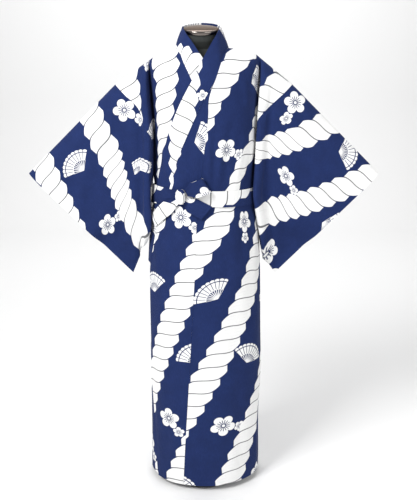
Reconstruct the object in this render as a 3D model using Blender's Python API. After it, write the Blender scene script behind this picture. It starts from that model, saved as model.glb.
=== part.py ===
"""Cotton yukata robe with its tied belt, standing on a limbless dress form.

Every piece of cloth is a wall of even thickness over a grid of points. The
grids come from a body section that changes with height, the line of the
shoulders, and a few seam lines. Angles go round the body from the front
centre, in degrees, and are positive towards the wearer's left, which is +X.
The front faces -Y.
"""

import bpy
import numpy as np

# Cloth
CLOTH = 0.0016
BAND = 0.0030
BELT_WALL = 0.0024
SEAM_GAP = 0.0003

# Robe
HEM_HEIGHT = 0.020
PANEL_DROP = 1.357
OVERLAP_RISE = 0.0042
COLLAR_RISE = 0.0008
COLLAR_WIDTH = 0.056
SHOULDER_ROUND = 0.085
TURN_ANGLE = 66.0
CHEST_COLUMNS = 7
SIDE_COLUMNS = 11
SIDE_ANGLE = 82.0
NECK_SHIFT = -0.006
OVERLAP_TIP = 1.258
COLLAR_END = 0.735

# Sleeves
SLEEVE_START = (0.266, 1.272)
CUFF_TOP = (0.541, 1.005)
CUFF_BOTTOM = (0.226, 0.688)
ARMHOLE = 0.365
SLEEVE_DROP = 0.465
BOTTOM_ROUND = 0.040

# Belt
BELT_HEIGHT = 0.941
KNOT_ANGLE = -23.5
KNOT_RISE = 0.0112
LOOP_START = (-18.0, 0.9600)
LOOP_LENGTH = 0.056
LOOP_WIDTH = 0.046
LOOP_RISE = 0.0098

# Dress form
FORM_BOTTOM = 0.700
CAP_RADIUS = 0.053
CAP_THICKNESS = 0.013
CAP_TILT = 16.0
POLE_RADIUS = 0.013
BASE_RADIUS = 0.130
BASE_THICKNESS = 0.012

# Colours
NAVY = (0.020, 0.036, 0.130)
FORM_CLOTH = (0.030, 0.036, 0.033)
STEEL = (0.620, 0.600, 0.570)
IRON = (0.030, 0.030, 0.032)


def table(columns, *rows):
    """Rows of sizes as one array for each named column, in order of the first column."""
    values = np.array(sorted(rows), dtype=float)
    return {name: values[:, i] for i, name in enumerate(columns.split())}


# The wrapped body: half widths to each side, and depths to the front and back
BODY = table(
    "height right_half left_half front back",
    (0.000, 0.178, 0.179, 0.149, 0.146),
    (0.200, 0.175, 0.177, 0.143, 0.139),
    (0.400, 0.175, 0.182, 0.137, 0.134),
    (0.600, 0.173, 0.177, 0.131, 0.130),
    (0.750, 0.171, 0.173, 0.127, 0.121),
    (0.850, 0.164, 0.166, 0.123, 0.109),
    (0.940, 0.154, 0.156, 0.118, 0.100),
    (1.000, 0.149, 0.154, 0.119, 0.101),
    (1.080, 0.147, 0.156, 0.120, 0.104),
    (1.200, 0.157, 0.160, 0.115, 0.108),
    (1.300, 0.165, 0.166, 0.101, 0.099),
    (1.360, 0.168, 0.168, 0.086, 0.086),
    (1.400, 0.168, 0.168, 0.078, 0.080),
)

# Height of the shoulder line, out to where the sleeve starts, and how much lower its right side is
RIDGE = table(
    "out front back slope",
    (0.000, 1.381, 1.436, 0.000),
    (0.040, 1.381, 1.412, 0.000),
    (0.064, 1.380, 1.393, 0.000),
    (0.075, 1.378, 1.383, 0.000),
    (0.080, 1.377, 1.378, 0.001),
    (0.110, 1.373, 1.373, 0.006),
    (0.150, 1.362, 1.362, 0.012),
    (0.172, 1.345, 1.345, 0.008),
    (0.205, 1.320, 1.320, 0.002),
    (0.266, 1.272, 1.272, 0.000),
)

# Soft folds that run down all layers of the cloth
FOLDS = table(
    "angle rise spread top bottom",
    (-148.0, 0.0045, 13.0, 0.860, 0.000),
    (-110.0, 0.0035, 12.0, 0.840, 0.150),
    (-44.0, 0.0030, 11.0, 0.700, 0.250),
    (-16.0, -0.0022, 10.0, 1.150, 0.990),
    (12.0, 0.0022, 10.0, 1.160, 0.985),
    (30.0, -0.0030, 11.0, 0.860, 0.450),
    (60.0, 0.0035, 11.0, 0.660, 0.050),
    (116.0, 0.0040, 12.0, 0.860, 0.100),
    (154.0, 0.0045, 12.0, 0.870, 0.000),
)

# Where the collar is sewn on in front, and the seam of the overlap panel below it
COLLAR_SEAM = table(
    "height angle",
    (1.378, 28.5),
    (1.368, 24.6),
    (1.330, 18.4),
    (1.274, 10.4),
    (1.243, 4.0),
    (1.204, -3.6),
    (1.171, -9.6),
    (1.139, -15.2),
    (1.102, -22.3),
    (1.050, -31.3),
    (1.001, -37.2),
    (0.930, -46.0),
    (0.870, -54.0),
    (0.800, -63.5),
    (0.735, -71.5),
)
OVERLAP_SEAM = table(
    "height angle",
    (1.258, 8.2),
    (1.230, 5.6),
    (1.176, 4.8),
    (1.120, 2.6),
    (1.066, 0.0),
    (1.005, -2.3),
    (0.930, -4.8),
    (0.865, -7.0),
    (0.728, -8.4),
    (0.633, -10.0),
    (0.505, -12.8),
    (0.406, -14.2),
    (0.298, -16.6),
    (0.223, -18.0),
    (0.108, -19.2),
    (0.000, -21.8),
)
FREE_EDGE = table(
    "height angle",
    (0.735, -71.5),
    (0.500, -72.0),
    (0.263, -70.0),
    (0.156, -63.0),
    (0.000, -56.0),
)

# How far from the back centre the neck hole reaches, down from the shoulder line
NECK_HOLE = table(
    "down out",
    (0.0000, 0.0800),
    (0.0015, 0.0790),
    (0.0060, 0.0750),
    (0.0140, 0.0640),
    (0.0280, 0.0400),
    (0.0480, 0.0000),
)

# The collar's standing stretch: its free edge beside each height of its seam
COLLAR_STAND = table(
    "seam out depth height",
    (1.378, 0.058, 0.004, 1.438),
    (1.360, 0.050, 0.040, 1.421),
    (1.330, 0.029, 0.065, 1.390),
    (1.300, 0.002, 0.083, 1.346),
    (1.274, -0.019, 0.094, 1.312),
)
COLLAR_BACK = table(
    "down out depth height",
    (0.000, 0.058, 0.000, 1.436),
    (0.006, 0.057, -0.018, 1.440),
    (0.014, 0.050, -0.034, 1.445),
    (0.028, 0.031, -0.051, 1.451),
    (0.048, 0.000, -0.061, 1.454),
)

# Beside the body: the valley between body and sleeve, and the sleeve's rolled fold
SIDE_RIGHT = table(
    "height valley valley_depth roll roll_depth strip",
    (1.351, 0.165, 0.040, 0.171, 0.044, 0.024),
    (1.320, 0.167, 0.026, 0.172, 0.052, 0.024),
    (1.285, 0.165, 0.018, 0.170, 0.057, 0.023),
    (1.235, 0.161, 0.012, 0.166, 0.060, 0.022),
    (1.178, 0.156, 0.010, 0.162, 0.061, 0.022),
    (1.108, 0.151, 0.009, 0.158, 0.061, 0.024),
    (1.050, 0.152, 0.009, 0.160, 0.061, 0.023),
    (1.000, 0.155, 0.008, 0.161, 0.063, 0.023),
    (0.950, 0.169, 0.006, 0.161, 0.067, 0.024),
    (0.900, 0.173, 0.005, 0.160, 0.069, 0.025),
    (0.850, 0.177, 0.005, 0.158, 0.071, 0.026),
    (0.785, 0.182, 0.005, 0.158, 0.072, 0.026),
)
SIDE_LEFT = table(
    "height valley valley_depth roll roll_depth strip",
    (1.351, 0.170, 0.036, 0.178, 0.038, 0.030),
    (1.320, 0.172, 0.022, 0.182, 0.036, 0.030),
    (1.285, 0.170, 0.018, 0.176, 0.046, 0.030),
    (1.235, 0.167, 0.014, 0.166, 0.054, 0.030),
    (1.178, 0.165, 0.010, 0.159, 0.060, 0.030),
    (1.108, 0.163, 0.009, 0.155, 0.062, 0.030),
    (1.050, 0.161, 0.009, 0.153, 0.065, 0.030),
    (1.000, 0.160, 0.008, 0.150, 0.069, 0.030),
    (0.950, 0.171, 0.006, 0.148, 0.074, 0.030),
    (0.900, 0.174, 0.005, 0.156, 0.069, 0.030),
    (0.850, 0.178, 0.005, 0.167, 0.058, 0.028),
    (0.790, 0.183, 0.005, 0.174, 0.046, 0.024),
    (0.735, 0.186, 0.005, 0.177, 0.036, 0.020),
)

# The armhole seam, down from the shoulder line, and below it the sleeve's own closed edge
ARMHOLE_RIGHT = table(
    "down out height",
    (0.000, 0.266, 1.272),
    (0.048, 0.232, 1.238),
    (0.100, 0.195, 1.201),
    (0.125, 0.184, 1.174),
    (0.150, 0.180, 1.150),
    (0.170, 0.166, 1.134),
    (0.195, 0.152, 1.120),
    (0.285, 0.152, 1.058),
    (0.365, 0.155, 1.000),
    (0.390, 0.168, 0.955),
    (0.415, 0.173, 0.905),
    (0.437, 0.177, 0.852),
    (0.452, 0.180, 0.816),
    (0.465, 0.182, 0.785),
)
ARMHOLE_LEFT = table(
    "down out height",
    (0.000, 0.266, 1.272),
    (0.048, 0.232, 1.240),
    (0.100, 0.193, 1.205),
    (0.125, 0.178, 1.190),
    (0.150, 0.168, 1.170),
    (0.170, 0.163, 1.152),
    (0.195, 0.164, 1.130),
    (0.285, 0.161, 1.062),
    (0.365, 0.160, 1.000),
    (0.390, 0.171, 0.950),
    (0.415, 0.175, 0.885),
    (0.437, 0.180, 0.820),
    (0.452, 0.184, 0.770),
    (0.465, 0.186, 0.735),
)

# Where the armhole seam goes over the rolled fold: the point of the fold's section it is on
SEAM_STATION = table(
    "down right left",
    (0.000, 9, 9),
    (0.125, 9, 9),
    (0.150, 9, 3),
    (0.170, 4, 2),
    (0.195, 2, 1),
    (0.235, 1, 0),
    (0.285, 0, 0),
)

# Depth of the sleeve's front layer, out along the sleeve from its start
SLEEVE_DEPTH = table(
    "along depth",
    (-0.120, 0.047),
    (0.000, 0.042),
    (0.120, 0.040),
    (0.250, 0.033),
    (0.385, 0.024),
)

# Creases across the sleeve: where they start, their slant, rise and spread
SLEEVE_CREASES = table(
    "along down slant rise spread",
    (0.060, 0.200, 0.9, 0.0040, 0.022),
    (0.150, 0.330, -0.5, -0.0035, 0.020),
    (0.260, 0.150, 0.6, 0.0030, 0.024),
)

# The belt: how far its inner face stands off the body, round from the back
BELT_STAND = table(
    "angle rise",
    (-180.0, 0.0020),
    (-114.0, 0.0020),
    (-90.0, 0.0062),
    (-60.0, 0.0062),
    (60.0, 0.0062),
    (86.0, 0.0062),
    (118.0, 0.0022),
    (180.0, 0.0020),
)
BELT_SHAPE = table(
    "turn width lift",
    (0.0, 0.030, 0.007),
    (16.0, 0.042, 0.006),
    (40.0, 0.054, 0.006),
    (90.0, 0.052, 0.003),
    (180.0, 0.048, 0.000),
    (270.0, 0.048, 0.001),
    (320.0, 0.047, 0.000),
    (345.0, 0.043, 0.004),
    (360.0, 0.030, 0.007),
)

# The dress form's torso and neck: centre, half width and half depth at each height
FORM = table(
    "height centre forward half depth",
    (0.700, 0.000, 0.000, 0.120, 0.088),
    (0.706, 0.000, 0.000, 0.134, 0.099),
    (0.740, 0.000, 0.000, 0.148, 0.106),
    (0.820, 0.000, 0.002, 0.146, 0.100),
    (0.900, 0.000, 0.004, 0.132, 0.088),
    (0.980, 0.000, 0.005, 0.122, 0.084),
    (1.080, 0.000, 0.004, 0.128, 0.094),
    (1.180, 0.000, 0.002, 0.140, 0.098),
    (1.260, 0.000, 0.000, 0.147, 0.087),
    (1.310, 0.001, 0.000, 0.146, 0.076),
    (1.340, 0.003, 0.000, 0.141, 0.060),
    (1.3548, 0.004, 0.000, 0.131, 0.048),
    (1.3649, 0.002, 0.000, 0.110, 0.039),
    (1.3709, -0.003, 0.001, 0.087, 0.033),
    (1.3766, -0.006, 0.002, 0.066, 0.036),
    (1.392, -0.007, 0.004, 0.054, 0.046),
    (1.420, -0.008, 0.004, 0.050, 0.050),
)

# Rows of the cloth, down from the shoulder line
ARM_ROWS = (0.0, 0.0015, 0.006, 0.014, 0.028, 0.048, 0.073, 0.100,
            0.125, 0.150, 0.170, 0.195, 0.235, 0.285, 0.330, ARMHOLE)
LOW_ROWS = (0.400, 0.450, 0.510, 0.570, 0.650, 0.790, 0.970, 1.160, PANEL_DROP)
CROWDING = (0.05, 0.35, 0.70, 1.0, 1.0)
FREE_ROWS = (0.390, 0.415, 0.437, 0.452, 0.461, SLEEVE_DROP)


def read(source, column, at):
    """Smooth curve through one column of a table, read along its first column."""
    x = source[next(iter(source))]
    y = source[column]
    slope = np.gradient(y, x)
    at = np.clip(np.asarray(at, dtype=float), x[0], x[-1])
    i = np.clip(np.searchsorted(x, at, side="right") - 1, 0, len(x) - 2)
    step = x[i + 1] - x[i]
    t = (at - x[i]) / step
    rise = (3 - 2 * t) * t * t
    start = step * slope[i] * t * (1 - t) ** 2
    end = step * slope[i + 1] * t * t * (t - 1)
    return y[i] * (1 - rise) + y[i + 1] * rise + start + end


def ramp(low, high, at):
    """0 below low, 1 above high, and a soft step between."""
    t = np.clip((np.asarray(at, dtype=float) - low) / (high - low), 0.0, 1.0)
    return t * t * (3 - 2 * t)


def cover(down):
    """How far the cloth has come over the rounded shoulder: 0 on its line, 1 below."""
    return np.sqrt(np.maximum(1 - (1 - np.minimum(down / SHOULDER_ROUND, 1)) ** 2, 0))


def body_point(angle, height, rise=0.0, over=1.0):
    """Points on the wrapped body at the given angles and heights, rise metres out."""
    angle = np.asarray(angle, dtype=float)
    height = np.asarray(height, dtype=float)
    turn = np.radians(angle)
    for fold in range(len(FOLDS["angle"])):
        gap = (angle - FOLDS["angle"][fold] + 180.0) % 360.0 - 180.0
        top, bottom = FOLDS["top"][fold], FOLDS["bottom"][fold]
        reach = ramp(top, top - 0.14, height) * ramp(bottom - 0.10, bottom + 0.05, height)
        rise = rise + FOLDS["rise"][fold] * reach * np.exp(-(gap / FOLDS["spread"][fold]) ** 2)
    right, left = read(BODY, "right_half", height), read(BODY, "left_half", height)
    front, back = read(BODY, "front", height), read(BODY, "back", height)
    half = np.where(np.sin(turn) >= 0, left, right)
    depth = np.where(np.cos(turn) >= 0, front, back)
    x = (half + rise) * np.sin(turn)
    y = -(depth + rise) * np.cos(turn) * over
    return np.stack(np.broadcast_arrays(x, y, height), axis=-1)


def angle_of(out, side, height):
    """Angle at which the body is out metres from its middle, on one side."""
    half = read(BODY, "left_half" if side > 0 else "right_half", height)
    return np.degrees(np.arcsin(np.clip(out / half, -1, 1)))


def row_height(out, down, face, side):
    """Height of a panel's row at a distance from the middle."""
    top = read(RIDGE, "front" if face > 0 else "back", np.abs(out))
    if side < 0:
        top = top - read(RIDGE, "slope", np.abs(out))
    return top + (HEM_HEIGHT - top) * down / PANEL_DROP


def overlap_rise(side, height):
    """The wearer's left front lies over the right one below the neck."""
    if side < 0:
        return np.zeros_like(np.asarray(height, dtype=float))
    return OVERLAP_RISE * ramp(1.378, 1.318, height)


def seam_angle(side, height):
    """Inner edge of a front body panel: the collar's seam, then the overlap panel's."""
    collar = collar_angle(side, height)
    panel = side * read(OVERLAP_SEAM, "angle", height)
    return np.where(height > OVERLAP_TIP, collar, panel)


def collar_angle(side, height):
    """Where the collar is sewn on; the under layer is wrapped a little less far."""
    ease = 1.0 if side > 0 else 1.0 - 0.20 * ramp(1.15, 0.90, height)
    return side * ease * read(COLLAR_SEAM, "angle", height)


def front_edge(side, down):
    """Angle and height of a front panel's inner edge on one row."""
    height = row_height(0.04, down, 1, side)
    for _ in range(6):
        angle = side * seam_angle(side, height)
        half = read(BODY, "left_half" if side > 0 else "right_half", height)
        height = row_height(half * np.sin(np.radians(angle)), down, 1, side)
    return angle, height


def neck_shift(height):
    """The neck sits a little to the wearer's right of the robe's middle."""
    return NECK_SHIFT * ramp(1.26, 1.37, height)


def panel_row(side, face, down, turn, columns, first=None):
    """Row of a body panel from its inner edge, or a first angle, to the given angle."""
    hole = max(float(read(NECK_HOLE, "out", down)), 0.0)
    if first is not None:
        inner = first
    elif face > 0:
        inner, _ = front_edge(side, down)
    else:
        inner = angle_of(hole, side, row_height(hole, down, -1, side))
    spread = np.linspace(float(inner), turn, columns)
    height = np.full(columns, float(row_height(0.08, down, face, side)))
    for _ in range(6):
        half = read(BODY, "left_half" if side > 0 else "right_half", height)
        out = half * np.sin(np.radians(np.minimum(spread, 90)))
        height = row_height(out, down, face, side)
    if face > 0:
        rise = overlap_rise(side, height)
        angle = spread * side
    else:
        rise = overlap_rise(side, height) * ramp(66.0, 98.0, spread)
        angle = (180.0 - spread) * side
    points = body_point(angle, height, rise, cover(down))
    points[:, 0] += neck_shift(height) * ramp(0.16, 0.07, np.abs(points[:, 0]))
    if face < 0:
        points[:, 0] += side * SEAM_GAP * 0.5 * ramp(40.0, 20.0, spread)
    return points


def side_tables(side):
    """The side fold and the armhole of one side."""
    return (SIDE_LEFT, ARMHOLE_LEFT) if side > 0 else (SIDE_RIGHT, ARMHOLE_RIGHT)


def sleeve_place(out, height):
    """Distances along the sleeve from its start and down from its top edge."""
    east = out - SLEEVE_START[0]
    rise = height - SLEEVE_START[1]
    return (east - rise) * np.sqrt(0.5), -(east + rise) * np.sqrt(0.5)


def sleeve_depth(out, height, face):
    """Depth of the sleeve's layer away from its middle plane."""
    along, down = sleeve_place(out, height)
    depth = read(SLEEVE_DEPTH, "depth", along)
    for crease in range(len(SLEEVE_CREASES["along"])):
        slant = SLEEVE_CREASES["slant"][crease] * face
        offset = along - SLEEVE_CREASES["along"][crease] - slant * (down - SLEEVE_CREASES["down"][crease])
        reach = np.exp(-((down - SLEEVE_CREASES["down"][crease]) / 0.12) ** 2)
        depth = depth + SLEEVE_CREASES["rise"][crease] * reach * np.exp(
            -(offset / SLEEVE_CREASES["spread"][crease]) ** 2)
    closed = ramp(0.265, 0.315, down) * ramp(0.25, 0.375, along)
    return depth * (1 - closed) + 0.0022 * closed


def fold_section(side, face, height):
    """Section through the valley and the rolled fold: distance out and depth."""
    fold, _ = side_tables(side)
    names = ("valley", "valley_depth", "roll", "roll_depth", "strip")
    valley, low, roll, high, strip = (float(read(fold, name, height)) for name in names)
    if face < 0:
        high = high - 0.008
    edge = roll + strip
    plane = float(sleeve_depth(edge + 0.010, height, face))
    step = high - 0.0015 if side < 0 and face > 0 else 0.6 * high + 0.4 * plane
    out = (valley, valley + 0.35 * (roll - valley), roll + 0.0005, roll + 0.0025, roll + 0.009,
           edge - 0.004, edge + 0.001, edge + 0.010)
    depth = (low, low + 0.50 * (high - low), high - 0.012, high - 0.003, high,
             step, 0.35 * step + 0.65 * plane, plane)
    return np.array(out), np.array(depth)


def armhole_point(side, down):
    """Distance out and height of the armhole seam on one row."""
    _, armhole = side_tables(side)
    return float(read(armhole, "out", down)), float(read(armhole, "height", down))


def seam_station(side, down):
    """Point of the fold's section that the armhole seam is on; 9 where it is beyond the fold."""
    column = SEAM_STATION["left" if side > 0 else "right"]
    row = np.searchsorted(SEAM_STATION["down"], down + 1e-6) - 1
    return int(column[row])


def first_valley_row(side):
    """Number of the first row whose armhole seam lies at the bottom of the valley."""
    return [seam_station(side, down) for down in ARM_ROWS].index(0)


def seam_on_fold(side, face, down):
    """The seam's place in its fold section, and the section's parts on either side."""
    out, height = armhole_point(side, down)
    section = np.stack(fold_section(side, face, height), axis=-1)
    station = seam_station(side, down)
    if station < 9:
        return section[station], section[:station], section[station + 1:], height
    if out > section[-1, 0]:
        seam = np.array([out, float(sleeve_depth(out, height, face))])
        return seam, section, section[:0], height
    seam = np.array([out, np.interp(out, section[2:, 0], section[2:, 1])])
    inside = section[section[:, 0] < out - 0.003]
    outside = section[section[:, 0] > out + 0.003]
    return seam, inside, outside, height


def divide(path, count, piece):
    """Path with one of its pieces divided evenly, to have count points in all."""
    extra = count - len(path) + 2
    steps = np.linspace(0, 1, extra)[1:-1, None]
    middle = path[piece] * (1 - steps) + path[piece + 1] * steps
    return np.vstack([path[:piece + 1], middle, path[piece + 1:]])


def side_row(side, face, down, start):
    """Row of a body panel from the body's turn, through the valley, to the armhole seam."""
    seam, inside, _, height = seam_on_fold(side, face, down)
    rounded = np.array([1.0, float(cover(down))])
    path = np.vstack([np.abs(start[:2]), inside * rounded, seam * rounded])
    if seam_station(side, down) == 0:
        crowd = CROWDING[ARM_ROWS.index(down) - first_valley_row(side)]
        path = path[0] + (path[1] - path[0]) * (np.linspace(0, 1, SIDE_COLUMNS) ** crowd)[:, None]
    else:
        path = divide(path, SIDE_COLUMNS, len(path) - 2)
    steps = np.concatenate(([0.0], np.cumsum(np.linalg.norm(np.diff(path, axis=0), axis=1))))
    heights = start[2] + (height - start[2]) * steps / steps[-1]
    return np.column_stack([path[:, 0] * side, -face * path[:, 1], heights])


def body_rows(side, face):
    """All rows of one face of a body panel, down from the shoulder line."""
    rows = []
    for down in ARM_ROWS:
        chest = panel_row(side, face, down, TURN_ANGLE, CHEST_COLUMNS)
        rows.append(np.vstack([chest, side_row(side, face, down, chest[-1])[1:]]))
    last = SIDE_ANGLE if face > 0 else 180.0 - SIDE_ANGLE
    for down in LOW_ROWS:
        chest = panel_row(side, face, down, TURN_ANGLE, CHEST_COLUMNS)
        turn = panel_row(side, face, down, last, SIDE_COLUMNS, TURN_ANGLE)
        rows.append(np.vstack([chest, turn[1:]]))
    grid = np.array(rows)
    grid[len(ARM_ROWS):, -1, 1] -= face * SEAM_GAP * 0.7
    return grid


def body_grid(side):
    """Outer face of a body panel, from the back's hem over the shoulder to the front's."""
    front, back = body_rows(side, 1), body_rows(side, -1)
    front[0, :, 1] = 0.0
    return np.vstack([back[:0:-1], front])


def wall(name, outer, inner, colour, roughness, wrap=False):
    """Closed solid between two grids of points, with the same triangles on both."""
    rows, columns = outer.shape[:2]
    index = np.arange(rows * columns).reshape(rows, columns)
    if wrap:
        index = np.column_stack([index, index[:, 0]])
    a, b = index[:-1, :-1].ravel(), index[1:, :-1].ravel()
    c, d = index[1:, 1:].ravel(), index[:-1, 1:].ravel()
    outside = np.vstack([np.stack([a, b, c], axis=-1), np.stack([a, c, d], axis=-1)])
    inside = outside[:, ::-1] + rows * columns
    edges = [(index[0, :], 0), (index[-1, ::-1], 0)]
    if not wrap:
        edges += [(index[::-1, 0], 1), (index[:, -1], 0)]
    rims = []
    under = rows * columns
    for line, turned in edges:
        start, end = line[:-1], line[1:]
        first, second = (start, end + under) if not turned else (end, start + under)
        rims.append(np.stack([start, end, second], axis=-1))
        rims.append(np.stack([first, end + under, start + under], axis=-1))
    faces = np.vstack([outside, inside] + rims)
    points = np.vstack([outer.reshape(-1, 3), inner.reshape(-1, 3)])
    return solid(name, points, faces.tolist(), colour, roughness)


def solid(name, points, faces, colour, roughness, metallic=0.0):
    """Mesh object with its own material, smooth except at its sharp edges."""
    mesh = bpy.data.meshes.new(name)
    mesh.from_pydata(points.tolist(), [], faces)
    mesh.validate()
    mesh.update()
    thing = bpy.data.objects.new(name, mesh)
    bpy.context.scene.collection.objects.link(thing)
    mesh.materials.append(finish(name, colour, roughness, metallic))
    mesh.polygons.foreach_set("use_smooth", [True] * len(mesh.polygons))
    mesh.set_sharp_from_angle(angle=np.radians(50))
    return thing


def finish(name, colour, roughness, metallic=0.0):
    """Principled material in one colour."""
    material = bpy.data.materials.new(name + "_finish")
    material.use_nodes = True
    shader = material.node_tree.nodes["Principled BSDF"]
    shader.inputs["Base Color"].default_value = (*colour, 1.0)
    shader.inputs["Roughness"].default_value = roughness
    shader.inputs["Metallic"].default_value = metallic
    return material


def normals(grid, wrap=False):
    """Normals of a grid, lengthened at bends so that a wall keeps its thickness."""
    pieces = np.diff(np.concatenate([grid, grid[:, :1]], axis=1) if wrap else grid, axis=1)
    along = np.gradient(grid, axis=0)
    middle = (along + np.roll(along, -1, axis=1))[:, :pieces.shape[1]]
    face = np.cross(middle, pieces)
    face = face / np.maximum(np.linalg.norm(face, axis=-1, keepdims=True), 1e-12)
    if wrap:
        before, after = np.roll(face, 1, axis=1), face
    else:
        before = np.concatenate([face[:, :1], face], axis=1)
        after = np.concatenate([face, face[:, -1:]], axis=1)
    normal = before + after
    normal = normal / np.maximum(np.linalg.norm(normal, axis=-1, keepdims=True), 1e-12)
    bend = np.sum(normal * before, axis=-1, keepdims=True)
    return normal / np.maximum(bend, 0.62)


def outer_normals(grid, probe, direction, wrap=False):
    """Normals of a grid on the side that faces the given direction at one of its points."""
    normal = normals(grid, wrap)
    return normal if np.dot(normal[probe], direction) > 0 else -normal


def shell(name, grid, normal, thickness, wrap=False):
    """Wall of cloth whose outer face is the grid, on the side its normals point to."""
    middle = (grid.shape[0] // 2 + 1, grid.shape[1] // 2)
    inner = grid - normal * thickness
    if np.dot(normals(grid, wrap)[middle], normal[middle]) < 0:
        grid, inner = grid[:, ::-1], inner[:, ::-1]
    return wall(name, grid, inner, NAVY, 0.85, wrap)


def away_from_middle(point):
    """Direction out from the body's upright axis."""
    return np.array([point[0], point[1], 0.0])


def armhole_pair(side):
    """Grids and normals of a body panel and its sleeve, alike along the armhole seam."""
    body, sleeve = body_grid(side), sleeve_grid(side)
    front = np.array([0.0, -1.0, 0.0])
    body_normal = outer_normals(body, (-4, 2), front)
    sleeve_normal = outer_normals(sleeve, (-12, -3), front)
    low, free, arm = len(LOW_ROWS), len(FREE_ROWS), 2 * len(ARM_ROWS) - 1
    shared = body_normal[low:low + arm, -1] + sleeve_normal[free:free + arm, 0]
    shared = shared / np.linalg.norm(shared, axis=-1, keepdims=True)
    body_normal[low:low + arm, -1] = shared
    sleeve_normal[free:free + arm, 0] = shared
    for row in (-first_valley_row(side), first_valley_row(side)):
        row += low + len(ARM_ROWS) - 1
        body_normal[row, CHEST_COLUMNS:-1] = body_normal[row, -1:]
    centre = (body[:, 0, 1] > 0) & (np.abs(body[:, 0, 0]) < abs(NECK_SHIFT) + SEAM_GAP)
    body_normal[centre, 0, 0] = 0.0
    along = np.gradient(sleeve[:, 0], axis=0)
    aside = np.cross(along, sleeve_normal[:, 0])
    aside *= np.sign(np.sum(aside * (sleeve[:, 1] - sleeve[:, 0]), axis=-1, keepdims=True))
    sleeve[:, 0] += aside / np.linalg.norm(aside, axis=-1, keepdims=True) * SEAM_GAP * 1.3
    return (body, body_normal), (sleeve, sleeve_normal)


def make_panels(side):
    """Body panel in one length over the shoulder, and the sleeve sewn to it."""
    (body, body_normal), (sleeve, sleeve_normal) = armhole_pair(side)
    hand = "left" if side > 0 else "right"
    shell("body_" + hand, body, body_normal, CLOTH)
    shell("sleeve_" + hand, sleeve, sleeve_normal, CLOTH)


def overlap_rows(side):
    """Angles of both edges of an overlap panel, and the height, for each of its rows."""
    ends = []
    for down in ARM_ROWS + LOW_ROWS:
        angle, height = front_edge(side, down)
        if height > OVERLAP_TIP:
            continue
        if height > COLLAR_END:
            end = float(collar_angle(side, height)) * side
        else:
            ease = 1.0 if side > 0 else 0.80
            end = float(read(FREE_EDGE, "angle", height)) * ease
        ends.append((float(angle), end, float(height), down))
    return ends


def make_overlap(side):
    """Overlap panel between its seam and the collar or its own free edge."""
    rows = []
    for start, end, height, down in overlap_rows(side):
        near = np.degrees(SEAM_GAP / 0.12)
        spread = np.linspace(start - near, end, 8)
        rise = overlap_rise(side, height)
        rows.append(body_point(spread * side, np.full(8, height), rise, cover(down)))
    grid = np.array(rows)
    middle = grid[4, 4]
    normal = outer_normals(grid, (4, 4), np.array([middle[0], middle[1], 0.0]))
    shell("overlap_left" if side > 0 else "overlap_right", grid, normal, CLOTH)


def collar_stations(side):
    """Lines across half the collar, from the back centre to its lower end."""
    lines = []
    share = np.array([0.0, 0.22, 0.48, 0.74, 1.0])[:, None]
    for down in ARM_ROWS[::-1]:
        if down > 0.048:
            continue
        seam = panel_row(side, -1, down, TURN_ANGLE, CHEST_COLUMNS)[0]
        edge = np.array([side * read(COLLAR_BACK, "out", down) + NECK_SHIFT,
                         -read(COLLAR_BACK, "depth", down), read(COLLAR_BACK, "height", down)])
        lines.append(seam + (edge - seam) * share)
    for down in (ARM_ROWS + LOW_ROWS)[1:]:
        _, height = front_edge(side, down)
        if height > COLLAR_END - 0.02:
            lines.append(collar_line(side, float(height), down, share))
    return np.array(lines)


def collar_line(side, height, down, share):
    """Line across the collar in front: lying on the body, or standing at the neck."""
    rise = overlap_rise(side, height)
    angle = float(collar_angle(side, height)) * side
    slope = read(COLLAR_SEAM, "angle", height + 0.02) - read(COLLAR_SEAM, "angle", height - 0.02)
    lean = np.arctan2(np.radians(slope) * 0.130, 0.04)
    across, up = COLLAR_WIDTH * np.cos(lean), COLLAR_WIDTH * np.sin(lean)
    turn = angle
    for _ in range(10):
        half = read(BODY, "left_half" if turn * side >= 0 else "right_half", height)
        depth = read(BODY, "front", height)
        pace = np.hypot(half * np.cos(np.radians(turn)), depth * np.sin(np.radians(turn)))
        turn = turn - np.degrees(across * 0.1 / pace)
    lying = body_point((angle + (turn - angle) * share[:, 0]) * side, height + up * share[:, 0],
                       rise + COLLAR_RISE, cover(down))
    seam = body_point(angle * side, height, rise + COLLAR_RISE, cover(down))
    seam[0] += neck_shift(height) * ramp(0.16, 0.07, abs(seam[0]))
    crossing = 0.003 * (side > 0) * np.exp(-((height - 1.275) / 0.030) ** 2)
    edge = np.array([side * read(COLLAR_STAND, "out", height) + neck_shift(height),
                     -read(COLLAR_STAND, "depth", height) - rise - COLLAR_RISE - crossing,
                     read(COLLAR_STAND, "height", height)])
    standing = seam + (edge - seam) * share
    blend = ramp(1.235, 1.290, height)
    return lying * (1 - blend) + standing * blend


def make_collar():
    """Folded band sewn along both fronts and round the neck."""
    right, left = collar_stations(-1), collar_stations(1)
    left[0] = right[0] = (left[0] + right[0]) * 0.5
    grid = np.vstack([right[::-1], left[1:]])
    step = grid[:, 1] - grid[:, 0]
    grid[:, 0] += step / np.linalg.norm(step, axis=-1, keepdims=True) * SEAM_GAP * 1.5
    normal = outer_normals(grid, (-4, 2), np.array([0.0, -1.0, 0.0]))
    turn = np.arctan2(grid[:, 0, 0] / 0.16, -grid[:, 0, 1] / 0.11)
    radial = np.stack([np.sin(turn) * 0.11, -np.cos(turn) * 0.16, 0.0 * turn], axis=-1)
    radial /= np.linalg.norm(radial, axis=-1, keepdims=True)
    lying = ramp(1.360, 1.335, grid[:, 0, 2])[:, None]
    normal[:, 0] = normal[:, 0] * (1 - lying) + radial * lying
    shell("collar", grid, normal, BAND)


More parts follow.
